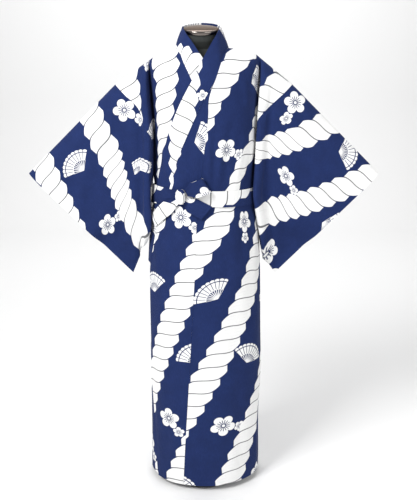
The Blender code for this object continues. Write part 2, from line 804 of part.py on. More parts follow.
def sleeve_rows(side, face):
    """All rows of one face of a sleeve, from its top edge down."""
    rows = []
    for down in ARM_ROWS + FREE_ROWS:
        seam, _, outside, height = seam_on_fold(side, face, down)
        if down > ARMHOLE:
            seam = np.array([armhole_point(side, down)[0], 0.0005])
        flat = np.vstack([seam, outside])
        heights = height - 0.020 * np.linspace(0, 1, len(flat)) if len(flat) > 1 else [height]
        first = np.column_stack([flat, heights])
        share = down / SLEEVE_DROP
        cuff = np.array(CUFF_TOP) * (1 - share) + np.array(CUFF_BOTTOM) * share
        knee = np.array([first[-1, 0], first[-1, 2]])
        reach = (0.012 if len(flat) > 1 else 0.036) / np.linalg.norm(cuff - knee)
        line = knee + (cuff - knee) * np.linspace(reach, 1, 7)[:, None]
        second = np.column_stack([line[:, 0], sleeve_depth(line[:, 0], line[:, 1], face), line[:, 1]])
        inner = np.vstack([first, second[:1]])
        row = np.vstack([divide(inner, 9, 0), second[1:]])
        rows.append(close_bottom(row, down, side))
    return np.array(rows)


def close_bottom(row, down, side):
    """Round the row over the shoulder line, and narrow it to the sleeve's bottom seam."""
    row[:, 1] *= float(cover(down))
    if down > ARMHOLE:
        left = min((SLEEVE_DROP - down) / BOTTOM_ROUND, 1.0)
        closing = np.sqrt(max(1 - (1 - left) ** 2, 0.0))
        edge = row[0, 0]
        row[1:, 1] = np.maximum(row[1:, 1] * closing, 0.0022)
        row[:, 0] = np.where(row[:, 0] < edge, edge + (row[:, 0] - edge) * closing, row[:, 0])
        order = np.linspace(0, 0.022, 9) + edge
        row[:9, 0] = row[:9, 0] * closing + np.maximum(row[:9, 0], order) * (1 - closing)
    return row


def sleeve_grid(side):
    """Outer face of a sleeve, from its bottom up the back, over the top and down the front."""
    sheets = []
    for face in (1, -1):
        rows = sleeve_rows(side, face)
        if face > 0:
            rows[0, :, 1] = 0.0
        sheets.append(np.stack([side * rows[..., 0], -face * rows[..., 1], rows[..., 2]], axis=-1))
    return np.vstack([sheets[1][:0:-1], sheets[0]])


def belt_ring(stand):
    """Grid of the belt's stretch round the waist, starting and ending at the knot."""
    turn = np.concatenate([np.linspace(4.0, 40.0, 7), np.linspace(52.0, 300.0, 30),
                           np.linspace(312.0, 356.0, 7)])
    angle = (KNOT_ANGLE - turn + 180.0) % 360.0 - 180.0
    width = read(BELT_SHAPE, "width", turn)
    lift = read(BELT_SHAPE, "lift", turn)
    rise = read(BELT_STAND, "rise", angle) + stand
    lines = []
    for share in (-0.5, 0.0, 0.5):
        height = BELT_HEIGHT + lift + width * share
        lines.append(body_point(angle, height, rise + 0.0004 * (1 - 4 * share * share)))
    return np.stack(lines, axis=1)


def make_belt_band():
    """The belt's stretch round the waist, over every layer of the robe."""
    outer, inner = belt_ring(BELT_WALL), belt_ring(0.0)
    face = np.cross(outer[1, 0] - outer[0, 0], outer[0, 1] - outer[0, 0])
    if np.dot(face, away_from_middle(outer[0, 0])) > 0:
        return wall("belt_band", outer, inner, NAVY, 0.85)
    return wall("belt_band", outer[:, ::-1], inner[:, ::-1], NAVY, 0.85)


def make_belt_end(name, start, end, width, near, far):
    """Free end of the belt, from under the knot over the front of the robe."""
    share = np.linspace(0, 1, 9)
    angle = start[0] + (end[0] - start[0]) * share
    height = start[1] + (end[1] - start[1]) * share
    rise = near + (far - near) * ramp(0.45, 1.0, share)
    degree = np.radians(0.135)
    run = np.hypot((end[0] - start[0]) * degree, end[1] - start[1])
    side_angle = -(end[1] - start[1]) / run / degree
    side_height = (end[0] - start[0]) * degree / run
    wide = width * (0.48 + 0.52 * ramp(0.0, 0.40, share))
    lines = []
    for across in (-0.5, -0.17, 0.17, 0.5):
        wave = 0.0022 * np.sin(np.pi * (across + 0.5)) * ramp(0.05, 0.5, share)
        lines.append(body_point(angle + side_angle * wide * across,
                                height + side_height * wide * across, rise + BELT_WALL + wave))
    grid = np.stack(lines, axis=1)
    shell(name, grid, outer_normals(grid, (4, 1), np.array([0.0, -1.0, 0.0])), BELT_WALL)


def make_belt_loop():
    """The bow's loop: the belt doubled back on itself, open between its layers."""
    turn = np.linspace(0, 2 * np.pi, 29)[:-1]
    share = (1 - np.cos(turn)) / 2
    ends = np.sqrt(1 - (1 - np.minimum(share / 0.10, 1)) ** 2)
    ends *= np.sqrt(1 - (1 - np.minimum((1 - share) / 0.13, 1)) ** 2)
    swell = 0.0046 + 0.0048 * np.sin(np.pi * np.minimum(share / 1.3, 1)) ** 0.7
    rise = LOOP_RISE + swell + np.where(turn <= np.pi, 1, -1) * swell * ends
    wide = LOOP_WIDTH * (0.46 + 0.54 * ramp(0.0, 0.45, share))
    degree = np.radians(0.135)
    lines = []
    for across in (-0.5, -0.17, 0.17, 0.5):
        angle = LOOP_START[0] + (share * LOOP_LENGTH * 0.904 - wide * across * 0.426) / degree
        height = LOOP_START[1] + share * LOOP_LENGTH * 0.426 + wide * across * 0.904
        lines.append(body_point(angle, height, rise))
    grid = np.stack(lines, axis=0)
    normal = outer_normals(grid, (1, 7), np.array([0.0, -1.0, 0.0]), wrap=True)
    shell("belt_loop", grid, normal, BELT_WALL, wrap=True)


def make_belt_knot():
    """The knot: a rounded lump of folded belt with two creases round it."""
    half = np.array([0.0150, 0.0088, 0.0225])
    up = np.linspace(-np.pi / 2, np.pi / 2, 12)[1:-1]
    level, turn = np.meshgrid(up, np.linspace(0, 2 * np.pi, 23)[:-1], indexing="ij")
    soft = 0.70
    rings = np.stack([
        np.sign(np.cos(turn)) * np.abs(np.cos(turn)) ** soft * np.cos(level) ** soft,
        np.sign(np.sin(turn)) * np.abs(np.sin(turn)) ** soft * np.cos(level) ** soft,
        np.sign(np.sin(level)) * np.abs(np.sin(level)) ** soft], axis=-1)
    crease = 1 - 0.07 * np.exp(-((level - 0.35 - 0.25 * np.cos(turn)) / 0.16) ** 2)
    crease -= 0.07 * np.exp(-((level + 0.45 - 0.25 * np.cos(turn)) / 0.16) ** 2)
    local = rings * crease[..., None] * half
    foot = body_point(KNOT_ANGLE, 0.949, KNOT_RISE)
    ahead = body_point(KNOT_ANGLE + 2.0, 0.949, KNOT_RISE)
    across = (ahead - foot) / np.linalg.norm(ahead - foot)
    outward = np.array([across[1], -across[0], 0.0])
    centre = foot + outward * half[1]
    upward = np.array([0.0, 0.0, 1.0])
    rings = centre + local[..., :1] * across - local[..., 1:2] * outward + local[..., 2:] * upward
    return capped("belt_knot", rings, NAVY, 0.85)


def capped(name, rings, colour, roughness, metallic=0.0):
    """Solid through closed rings, from the lowest up, with a fan over each end."""
    rows, columns = rings.shape[:2]
    points = np.vstack([rings.reshape(-1, 3), rings[0].mean(axis=0)[None], rings[-1].mean(axis=0)[None]])
    index = np.arange(rows * columns).reshape(rows, columns)
    index = np.column_stack([index, index[:, 0]])
    sides = np.stack([index[:-1, :-1], index[:-1, 1:], index[1:, 1:], index[1:, :-1]], axis=-1)
    faces = sides.reshape(-1, 4).tolist()
    low, high = rows * columns, rows * columns + 1
    faces += [[low, b, a] for a, b in zip(index[0, :-1].tolist(), index[0, 1:].tolist())]
    faces += [[high, a, b] for a, b in zip(index[-1, :-1].tolist(), index[-1, 1:].tolist())]
    return solid(name, points, faces, colour, roughness, metallic)


def make_form():
    """The dress form's torso, shoulders and neck, in dark jersey."""
    turn = np.linspace(0, 2 * np.pi, 37)[:-1]
    rings = []
    for i, height in enumerate(FORM["height"]):
        half, depth = FORM["half"][i], FORM["depth"][i]
        ring = np.stack([FORM["centre"][i] + half * np.cos(turn),
                         -FORM["forward"][i] + depth * np.sin(turn),
                         np.full(len(turn), height)], axis=-1)
        if i == len(FORM["height"]) - 1:
            tilt = np.tan(np.radians(CAP_TILT))
            ring[:, 2] += (ring[:, 1] + FORM["forward"][i]) * tilt
        rings.append(ring)
    return capped("form_torso", np.array(rings), FORM_CLOTH, 0.9)


def turned(name, profile, centre, tilt, colour, roughness, metallic, count=36):
    """Solid of revolution from a profile of radius and height, then tilted forward."""
    turn = np.linspace(0, 2 * np.pi, count + 1)[:-1]
    rings = []
    for radius, height in profile:
        level = np.full(count, height)
        rings.append(np.stack([radius * np.cos(turn), radius * np.sin(turn), level], axis=-1))
    rings = np.array(rings)
    lean = np.radians(tilt)
    y = rings[..., 1] * np.cos(lean) - rings[..., 2] * np.sin(lean)
    z = rings[..., 1] * np.sin(lean) + rings[..., 2] * np.cos(lean)
    rings = np.stack([rings[..., 0], y, z], axis=-1) + np.array(centre)
    return capped(name, rings, colour, roughness, metallic)


def make_cap():
    """Metal cap on the neck, with a rounded rim and a shallow dome."""
    radius, height = CAP_RADIUS, CAP_THICKNESS
    profile = ((radius * 0.86, 0.0), (radius * 0.96, 0.0006), (radius, 0.003), (radius, height - 0.004),
               (radius * 0.96, height), (radius * 0.60, height + 0.0025),
               (radius * 0.20, height + 0.0035))
    last = len(FORM["height"]) - 1
    lean = np.radians(CAP_TILT)
    lift = SEAM_GAP * 1.5
    centre = (FORM["centre"][last], -FORM["forward"][last] - lift * np.sin(lean),
              FORM["height"][last] + lift * np.cos(lean))
    return turned("neck_cap", profile, centre, CAP_TILT, STEEL, 0.25, 1.0)


def make_stand():
    """Pole under the torso and round base on the floor."""
    edge = 0.003
    base = ((BASE_RADIUS - edge, 0.0), (BASE_RADIUS, edge), (BASE_RADIUS, BASE_THICKNESS - edge),
            (BASE_RADIUS - edge, BASE_THICKNESS), (0.030, BASE_THICKNESS + 0.004),
            (0.022, BASE_THICKNESS + 0.022), (0.018, BASE_THICKNESS + 0.024))
    turned("stand_base", base, (0.0, 0.0, 0.0), 0.0, IRON, 0.45, 0.6)
    low = BASE_THICKNESS + 0.024 + SEAM_GAP
    pole = ((POLE_RADIUS, low), (POLE_RADIUS, FORM_BOTTOM - SEAM_GAP))
    turned("stand_pole", pole, (0.0, 0.0, 0.0), 0.0, STEEL, 0.3, 1.0, count=24)


def main():
    for thing in list(bpy.data.objects):
        bpy.data.objects.remove(thing, do_unlink=True)
    for side in (1, -1):
        make_panels(side)
        make_overlap(side)
    make_collar()
    make_belt_band()
    make_belt_knot()
    make_belt_loop()
    make_belt_end("belt_end_right", (-27.5, 0.938), (-63.0, 0.868), 0.044, 0.0100, 0.0078)
    make_belt_end("belt_end_left", (-19.5, 0.936), (3.0, 0.902), 0.046, 0.0100, 0.0100)
    make_form()
    make_cap()
    make_stand()


main()
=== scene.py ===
"""Cotton yukata robe with its tied belt, on a limbless dress form.

Angles go round the body from the front centre, in degrees, and are positive
towards the wearer's left, which is +X. The front faces -Y. Every piece of
cloth is a fine grid through a coarse one, with creases laid over it, and a
second grid one cloth thickness under it.
"""

import bpy
import numpy as np
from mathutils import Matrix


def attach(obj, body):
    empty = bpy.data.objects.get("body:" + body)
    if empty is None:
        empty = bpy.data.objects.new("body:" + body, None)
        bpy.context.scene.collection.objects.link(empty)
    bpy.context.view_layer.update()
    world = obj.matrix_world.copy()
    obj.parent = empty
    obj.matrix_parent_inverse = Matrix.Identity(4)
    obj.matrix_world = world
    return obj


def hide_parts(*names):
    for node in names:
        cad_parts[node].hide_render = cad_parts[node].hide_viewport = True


bl_info = {
    "name": "Cotton robe on a dress form",
    "version": (1, 0, 0),
    "blender": (4, 5, 0),
    "location": "View3D > Sidebar > Robe",
    "description": "Makes a printed cotton robe, its belt, the dress form under it and a plain stage",
    "category": "Add Mesh",
}

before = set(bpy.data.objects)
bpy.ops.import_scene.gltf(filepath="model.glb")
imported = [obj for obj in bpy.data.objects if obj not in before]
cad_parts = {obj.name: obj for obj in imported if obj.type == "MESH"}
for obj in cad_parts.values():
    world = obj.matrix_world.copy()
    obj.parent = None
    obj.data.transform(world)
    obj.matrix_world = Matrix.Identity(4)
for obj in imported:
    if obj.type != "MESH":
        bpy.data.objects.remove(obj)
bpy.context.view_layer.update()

# Cloth: thicknesses, the gap at a seam, and how far from an edge its stitches run
CLOTH = 0.0016
BAND = 0.0030
BELT_WALL = 0.0024
SEAM_GAP = 0.0003
STITCH_IN = 0.0075
ARC = 0.00262  # length of cloth that one degree round the body takes
BODY_STEP = 0.0052  # distance between two points of a fine grid, here and for the other pieces
SLEEVE_STEP = 0.0055
COLLAR_STEP = 0.0050
MOST_PARTS = 56  # into which one step of a coarse grid is refined
UNTURNED = [0, 3, 2, 1]  # order of a face's corners that turns it over
FRONT = np.array([0.0, -1.0, 0.0])

# Print
LINE_SOFT = 0.0009
STRAND_CURL = 0.0125  # how far a strand's ends bend along the rope at its edges
ROPE_STAGGER = 0.019  # shift of the strands from one rope to the next
LANE_STAGGER = 0.087  # shift of the motifs from one lane between ropes to the next
BLOSSOM = 0.034  # radius, and half of it for the bud
STAMENS = 15
FAN = 0.064  # radius
PLEATS = 4.55  # for one radian
STITCH_PITCH = 0.0052
STITCH_SHARE = 0.36

# Robe
HEM_HEIGHT = 0.020
PANEL_DROP = 1.357
OVERLAP_RISE = 0.0042
COLLAR_RISE = 0.0008
COLLAR_WIDTH = 0.056
SHOULDER_ROUND = 0.085
TURN_ANGLE = 66.0
CHEST_COLUMNS = 7
SIDE_COLUMNS = 11
SIDE_ANGLE = 82.0
NECK_SHIFT = -0.006
OVERLAP_TIP = 1.258
COLLAR_END = 0.735
COLLAR_PARTS = (0.0, 0.145)  # how far apart on the bolt the collar's halves are cut
BODY_RADII = (0.165, 0.125)  # mean half width and depth, for the flat sizes
FREE_BELOW = 0.44  # distance down from which the relief runs on over the sides
UNDER_SHARE = 0.80  # how far the under overlap panel is wrapped, against the outer one

# Sleeves
SLEEVE_START = (0.266, 1.272)
CUFF_TOP = (0.541, 1.005)
CUFF_BOTTOM = (0.226, 0.688)
ARMHOLE = 0.365
SLEEVE_DROP = 0.465
SLEEVE_LEAST = 0.0022  # least depth of a layer from the sleeve's middle plane
BOTTOM_ROUND = 0.040
BEYOND_FOLD = 9

# Belt
BELT_HEIGHT = 0.941
BELT_RADIUS = 0.137
BELT_DEGREE = float(np.radians(0.135))  # length of one degree round the belt
KNOT_ANGLE = -23.5
KNOT_HEIGHT = 0.949
KNOT_RISE = 0.0112
LOOP_START = (-18.0, 0.9600)
LOOP_LENGTH = 0.056
LOOP_WIDTH = 0.046
LOOP_RISE = 0.0098
LOOP_WAY = (0.904, 0.426)  # level and upward parts of the way the loop runs

# Dress form
FORM_BOTTOM = 0.700
CAP_RADIUS = 0.053
CAP_THICKNESS = 0.013
CAP_TILT = 16.0
POLE_RADIUS = 0.013
BASE_RADIUS = 0.130
BASE_THICKNESS = 0.012

# Stage: lamps with their places, aims, sizes and powers, and the camera
LAMPS = (("key", (-1.75, -1.95, 2.75), (0.0, 0.0, 1.12), 1.2, 108.0),
         ("fill", (2.1, -2.3, 2.0), (0.0, 0.0, 1.1), 2.0, 44.0),
         ("backdrop", (0.0, 2.6, 4.6), (0.0, 4.8, 1.0), 3.2, 125.0))
CAMERA_LENS = 678.2 / 417 * 36.0
CAMERA_PLACE = (0.0142, -2.1, 1.24)
CAMERA_PITCH = 12.86


def table(columns, text):
    """Rows of sizes, parted by commas, as an array for each column, in order of the first one."""
    rows = sorted([float(value) for value in row.split()] for row in text.split(","))
    return dict(zip(columns.split(), np.array(rows).T))


# The wrapped body: half widths to each side, and depths to the front and back
BODY = table("height right_half left_half front back", """
    0 .178 .179 .149 .146, .2 .175 .177 .143 .139, .4 .175 .182 .137 .134, .6 .173 .177 .131 .13,
    .75 .171 .173 .127 .121, .85 .164 .166 .123 .109, .94 .154 .156 .118 .1, 1 .149 .154 .119 .101,
    1.08 .147 .156 .12 .104, 1.2 .157 .16 .115 .108, 1.3 .165 .166 .101 .099,
    1.36 .168 .168 .086 .086, 1.4 .168 .168 .078 .08""")

# Height of the shoulder line, out to where the sleeve starts, and how much lower its right side is
RIDGE = table("out front back slope", """
    0 1.381 1.436 0, .04 1.381 1.412 0, .064 1.38 1.393 0, .075 1.378 1.383 0, .08 1.377 1.378 .001,
    .11 1.373 1.373 .006, .15 1.362 1.362 .012, .172 1.345 1.345 .008, .205 1.32 1.32 .002,
    .266 1.272 1.272 0""")

# Soft folds that run down all layers of the cloth
FOLDS = table("angle rise spread top bottom", """
    -148 .0045 13 .86 0, -110 .0035 12 .84 .15, -44 .003 11 .7 .25, -16 -.0022 10 1.15 .99,
    12 .0022 10 1.16 .985, 30 -.003 11 .86 .45, 60 .0035 11 .66 .05, 116 .004 12 .86 .1,
    154 .0045 12 .87 0""")

# Where the collar is sewn on in front, and the seam of the overlap panel below it
COLLAR_SEAM = table("height angle", """
    1.378 28.5, 1.368 24.6, 1.33 18.4, 1.274 10.4, 1.243 4, 1.204 -3.6, 1.171 -9.6, 1.139 -15.2,
    1.102 -22.3, 1.05 -31.3, 1.001 -37.2, .93 -46, .87 -54, .8 -63.5, .735 -71.5""")
OVERLAP_SEAM = table("height angle", """
    1.258 8.2, 1.23 5.6, 1.176 4.8, 1.12 2.6, 1.066 0, 1.005 -2.3, .93 -4.8, .865 -7, .728 -8.4,
    .633 -10, .505 -12.8, .406 -14.2, .298 -16.6, .223 -18, .108 -19.2, 0 -21.8""")
FREE_EDGE = table("height angle", ".735 -71.5, .5 -72, .263 -70, .156 -63, 0 -56")

# How far from the back centre the neck hole reaches, down from the shoulder line
NECK_HOLE = table("down out", "0 .08, .0015 .079, .006 .075, .014 .064, .028 .04, .048 0")

# The collar's standing stretch: its free edge beside each height of its seam
COLLAR_STAND = table("seam out depth height", """
    1.378 .058 .004 1.438, 1.36 .05 .04 1.421, 1.33 .029 .065 1.39, 1.3 .002 .083 1.346,
    1.274 -.019 .094 1.312""")
COLLAR_BACK = table("down out depth height", """
    0 .058 0 1.436, .006 .057 -.018 1.44, .014 .05 -.034 1.445, .028 .031 -.051 1.451,
    .048 0 -.061 1.454""")

# Beside the body: the valley between body and sleeve, and the sleeve's rolled fold
SIDE_RIGHT = table("height valley valley_depth roll roll_depth strip", """
    1.351 .165 .04 .171 .044 .024, 1.32 .167 .026 .172 .052 .024, 1.285 .165 .018 .17 .057 .023,
    1.235 .161 .012 .166 .06 .022, 1.178 .156 .01 .162 .061 .022, 1.108 .151 .009 .158 .061 .024,
    1.05 .152 .009 .16 .061 .023, 1 .155 .008 .161 .063 .023, .95 .169 .006 .161 .067 .024,
    .9 .173 .005 .16 .069 .025, .85 .177 .005 .158 .071 .026, .785 .182 .005 .158 .072 .026""")
SIDE_LEFT = table("height valley valley_depth roll roll_depth strip", """
    1.351 .17 .036 .178 .038 .03, 1.32 .172 .022 .182 .036 .03, 1.285 .17 .018 .176 .046 .03,
    1.235 .167 .014 .166 .054 .03, 1.178 .165 .01 .159 .06 .03, 1.108 .163 .009 .155 .062 .03,
    1.05 .161 .009 .153 .065 .03, 1 .16 .008 .15 .069 .03, .95 .171 .006 .148 .074 .03,
    .9 .174 .005 .156 .069 .03, .85 .178 .005 .167 .058 .028, .79 .183 .005 .174 .046 .024,
    .735 .186 .005 .177 .036 .02""")

# The armhole seam, down from the shoulder line, and below it the sleeve's own closed edge
ARMHOLE_RIGHT = table("down out height", """
    0 .266 1.272, .048 .232 1.238, .1 .195 1.201, .125 .184 1.174, .15 .18 1.15, .17 .166 1.134,
    .195 .152 1.12, .285 .152 1.058, .365 .155 1, .39 .168 .955, .415 .173 .905, .437 .177 .852,
    .452 .18 .816, .465 .182 .785""")
ARMHOLE_LEFT = table("down out height", """
    0 .266 1.272, .048 .232 1.24, .1 .193 1.205, .125 .178 1.19, .15 .168 1.17, .17 .163 1.152,
    .195 .164 1.13, .285 .161 1.062, .365 .16 1, .39 .171 .95, .415 .175 .885, .437 .18 .82,
    .452 .184 .77, .465 .186 .735""")
SIDES = {1: SIDE_LEFT, -1: SIDE_RIGHT}
ARMHOLES = {1: ARMHOLE_LEFT, -1: ARMHOLE_RIGHT}

# Where the armhole seam goes over the rolled fold: the point of the fold's section it is on
SEAM_STATION = table("down right left", """
    0 9 9, .125 9 9, .15 9 3, .17 4 2, .195 2 1, .235 1 0, .285 0 0""")

# Depth of the sleeve's front layer, out along the sleeve from its start
SLEEVE_DEPTH = table("along depth", "-.12 .047, 0 .042, .12 .04, .25 .033, .385 .024")

# The belt: how far its inner face stands off the body, round from the back
BELT_STAND = table("angle rise", """
    -180 .002, -114 .002, -90 .0062, -60 .0062, 60 .0062, 86 .0062, 118 .0022, 180 .002""")
BELT_SHAPE = table("turn width lift", """
    0 .03 .007, 16 .042 .006, 40 .054 .006, 90 .052 .003, 180 .048 0, 270 .048 .001, 320 .047 0,
    345 .043 .004, 360 .03 .007""")

# The dress form's torso and neck: centre, half width and half depth at each height
FORM = table("height centre forward half depth", """
    .7 0 0 .12 .088, .706 0 0 .134 .099, .74 0 0 .148 .106, .82 0 .002 .146 .1, .9 0 .004 .132 .088,
    .98 0 .005 .122 .084, 1.08 0 .004 .128 .094, 1.18 0 .002 .14 .098, 1.26 0 0 .147 .087,
    1.31 .001 0 .146 .076, 1.34 .003 0 .141 .06, 1.3548 .004 0 .131 .048, 1.3649 .002 0 .11 .039,
    1.3709 -.003 .001 .087 .033, 1.3766 -.006 .002 .066 .036, 1.392 -.007 .004 .054 .046,
    1.42 -.008 .004 .05 .05""")

# Rows of the cloth, down from the shoulder line
ARM_ROWS = (0.0, 0.0015, 0.006, 0.014, 0.028, 0.048, 0.073, 0.100,
            0.125, 0.150, 0.170, 0.195, 0.235, 0.285, 0.330, ARMHOLE)
BODY_ROWS = (*ARM_ROWS, 0.400, 0.450, 0.510, 0.570, 0.650, 0.790, 0.970, 1.160, PANEL_DROP)
SLEEVE_ROWS = (*ARM_ROWS, 0.390, 0.415, 0.437, 0.452, 0.461, SLEEVE_DROP)
CROWDING = (0.05, 0.35, 0.70, 1.0, 1.0)

# Creases in the robe's body: both ends as angle and height, how far they stand out, how wide, how bent
ROBE_CREASES = table("angle height end_angle end_height rise spread bend", """
    -58 1.19 -40 .985 .003 .013 .008, -50 1.13 -33 .99 -.0022 .01 .004,
    -20 1.12 -14 .975 -.0024 .01 -.004, 4 1.13 7 .972 .0024 .009 .003,
    10.5 1.15 11 .97 -.0026 .008 -.002, 20 1.09 15 .975 .0026 .01 .004,
    33 1.18 24 .975 -.0022 .012 .006, 50 1.13 38 .985 .0028 .013 .004,
    61 1.08 52 .985 -.002 .01 -.003, 38 1.3 52 1.205 .0026 .013 -.006,
    -42 1.3 -52 1.19 -.0022 .012 .005, -57 .895 -50 .64 .0026 .014 .004,
    -31 .9 -36 .72 -.0024 .011 -.004, -12 .905 -20 .66 .0024 .013 .006, 9 .9 12 .76 -.0022 .01 .003,
    26 .905 31 .64 .0026 .015 -.006, 42 .9 45 .74 -.0024 .012 .004, 66 .88 61 .6 .0028 .015 .005,
    -66 .43 -60 .06 -.0022 .015 .006, -30 .38 -36 .02 .0024 .018 -.008,
    36 .42 44 .02 -.0024 .016 .006, 70 .3 66 .02 .0026 .014 .004, -168 1.2 -160 .99 .0028 .012 .004,
    -148 1.16 -152 .975 -.0024 .011 -.004, -128 1.22 -140 .99 .003 .014 .007,
    128 1.19 142 .985 .0028 .013 -.006, 150 1.23 156 .975 -.0026 .011 .004,
    170 1.14 172 .985 .0024 .01 .002, -172 .9 -166 .62 .0026 .015 .006,
    -140 .9 -134 .68 -.0024 .012 -.005, -112 .78 -118 .42 .0026 .016 .005,
    112 .76 106 .47 -.0022 .015 .004, 136 .905 130 .56 .0028 .015 -.006,
    160 .9 166 .7 -.0026 .012 .005, 176 .48 170 .02 .0026 .018 .006,
    -150 .38 -156 .02 -.0026 .016 .005, 98 .34 104 .02 .0024 .015 -.004""")

# Creases in a sleeve: both ends as distances along it and down from its top, on the front, then the back
SLEEVE_FRONT = table("along down end_along end_down rise spread bend", """
    -.02 .07 .11 .215 .0034 .016 .01, .01 .05 .175 .12 -.0028 .013 -.008,
    .06 .03 .29 .06 .0024 .014 .006, .02 .25 .2 .36 .003 .018 -.012, .12 .18 .3 .33 -.0026 .02 .01,
    .205 .11 .375 .2 .0026 .018 .008, .23 .3 .38 .395 .0024 .016 -.006,
    .07 .33 .15 .44 -.0024 .014 .005, .3 .02 .385 .11 -.0022 .015 .005""")
SLEEVE_BACK = table("along down end_along end_down rise spread bend", """
    -.01 .08 .13 .23 .0036 .017 -.01, .02 .045 .21 .1 -.0026 .014 .006,
    .05 .24 .23 .34 -.0028 .018 .01, .15 .15 .33 .26 .0028 .02 -.009,
    .26 .06 .38 .15 -.0022 .016 .006, .24 .33 .375 .42 .0026 .016 .006,
    .09 .37 .17 .45 .0022 .014 -.004""")

# How far the grain of each front swings, down from the shoulder, and where wrapping pulls the cloth
SWING = {1: table("down swing", """
    0 -.055, .06 -.068, .17 -.104, .3 -.111, .4 -.125, .58 -.175, .77 -.205, 1.06 -.23, 1.24 -.245"""),
    -1: table("down swing", "0 0, .36 .098, .41 .205, .55 .135, .8 .056")}
SIDE_PULL = table("down pull", ".27 0, .4 .075, .58 .02, .77 0")
EDGE_PULL = table("down pull", ".33 0, .39 .06, .45 .056, .53 .034, .64 0")

# Where on the printed bolt each piece is cut: across it, and along it
PRINT_SHIFT = {
    "body_left": (0.015, 0.060), "body_right": (0.1256, -0.035),
    "overlap_left": (-0.039, 0.095), "overlap_right": (0.090, 0.020),
    "sleeve_left": (0.010, 0.110), "sleeve_right": (0.085, 0.070),
    "collar": (0.030, 0.240), "belt_band": (0.110, 0.050), "belt_loop": (0.085, 0.085),
    "belt_end_left": (0.020, 0.150), "belt_end_right": (0.100, 0.210), "belt_knot": (-0.004, 0.000)}


def cubic(low, high, start, end, t):
    """Cubic from one value to the next, for t from 0 to 1, that leaves and meets them with the given
    slopes."""
    rise = (3 - 2 * t) * t * t
    return low * (1 - rise) + high * rise + start * t * (1 - t) ** 2 + end * t * t * (t - 1)


def read(source, column, at):
    """Smooth curve through one column of a table, read along its first column: cubics whose slopes are
    those of the table's differences."""
    x, y = source[next(iter(source))], source[column]
    slope = np.gradient(y, x)
    at = np.clip(np.asarray(at, dtype=float), x[0], x[-1])
    i = np.clip(np.searchsorted(x, at, side="right") - 1, 0, len(x) - 2)
    step = x[i + 1] - x[i]
    return cubic(y[i], y[i + 1], step * slope[i], step * slope[i + 1], (at - x[i]) / step)


def ramp(low, high, at):
    """0 below low, 1 above high, and a soft step between."""
    t = np.clip((np.asarray(at, dtype=float) - low) / (high - low), 0.0, 1.0)
    return t * t * (3 - 2 * t)


def cover(down):
    """How far the cloth has come over the rounded shoulder: 0 on its line, 1 below, along a quarter
    circle."""
    return np.sqrt(np.maximum(1 - (1 - np.minimum(down / SHOULDER_ROUND, 1)) ** 2, 0))


def joined(*parts):
    """Arrays of numbers brought to one shape and put together along a last axis."""
    return np.stack(np.broadcast_arrays(*parts), axis=-1)


def running(path):
    """Length run along a path of points, from its first one."""
    return np.concatenate([[0.0], np.cumsum(np.linalg.norm(np.diff(path, axis=0), axis=-1))])


def hand(side):
    """The wearer's left is +1, the right -1."""
    return "left" if side > 0 else "right"


def creases(source, across, height, scale=1.0):
    """How far creases lift the cloth. Each runs between two points of the table: its rise fades by a
    bell curve across its bent line, with a shallow trough on one side, and tapers to nothing at both
    ends."""
    lift = np.zeros_like(across)
    for a, b, c, d, rise, spread, bend in zip(*source.values()):
        a, c = a * scale, c * scale
        run, drop = c - a, d - b
        length = np.hypot(run, drop)
        share = ((across - a) * run + (height - b) * drop) / length ** 2
        aside = ((across - a) * drop - (height - b) * run) / length - bend * (1 - (2 * share - 1) ** 2)
        taper = np.exp(-np.maximum(np.abs(share - 0.5) - 0.28, 0) ** 2 / 0.022)
        trough = np.exp(-((aside - 1.7 * spread) / spread) ** 2)
        lift = lift + rise * taper * (np.exp(-(aside / spread) ** 2) - 0.38 * trough)
    return lift


def relief(angle, height):
    """Lift of every layer of the wrapped body: the soft folds, the creases, and a slight unevenness."""
    lift = np.zeros_like(height)
    for centre, rise, spread, top, bottom in zip(*FOLDS.values()):
        gap = (angle - centre + 180.0) % 360.0 - 180.0
        reach = ramp(top, top - 0.14, height) * ramp(bottom - 0.10, bottom + 0.05, height)
        lift = lift + rise * reach * np.exp(-(gap / spread) ** 2)
    lift = lift + creases(ROBE_CREASES, angle * ARC, height, ARC)
    turn = np.radians(angle)
    uneven = np.sin(3 * turn + 9 * height) * np.sin(17 * height + 2 * turn)
    return lift + 0.0007 * uneven + 0.0005 * np.sin(7 * turn - 23 * height)


def body_radii(left, front, height):
    """Half width and depth of the wrapped body, to its left or right and to its front or back."""
    return (np.where(left, read(BODY, "left_half", height), read(BODY, "right_half", height)),
            np.where(front, read(BODY, "front", height), read(BODY, "back", height)))


def body_point(angle, height, rise=0.0, over=1.0):
    """Points on the wrapped body: an ellipse for each height, whose four halves come from a table, rise
    out."""
    angle = np.asarray(angle, dtype=float)
    height = np.asarray(height, dtype=float)
    turn = np.radians(angle)
    half, depth = body_radii(np.sin(turn) >= 0, np.cos(turn) >= 0, height)
    return joined((half + rise) * np.sin(turn), -(depth + rise) * np.cos(turn) * over, height)


def lifted(points, share):
    """Points of the wrapped body moved out, away from its axis, by the relief times a share."""
    x, y, height = np.moveaxis(points, -1, 0)
    half, depth = body_radii(x >= 0, y <= 0, height)
    turn = np.arctan2(x / half, -y / depth)
    lift = relief(np.degrees(turn), height) * share
    return joined(x + lift * np.sin(turn), y - lift * np.cos(turn), height)


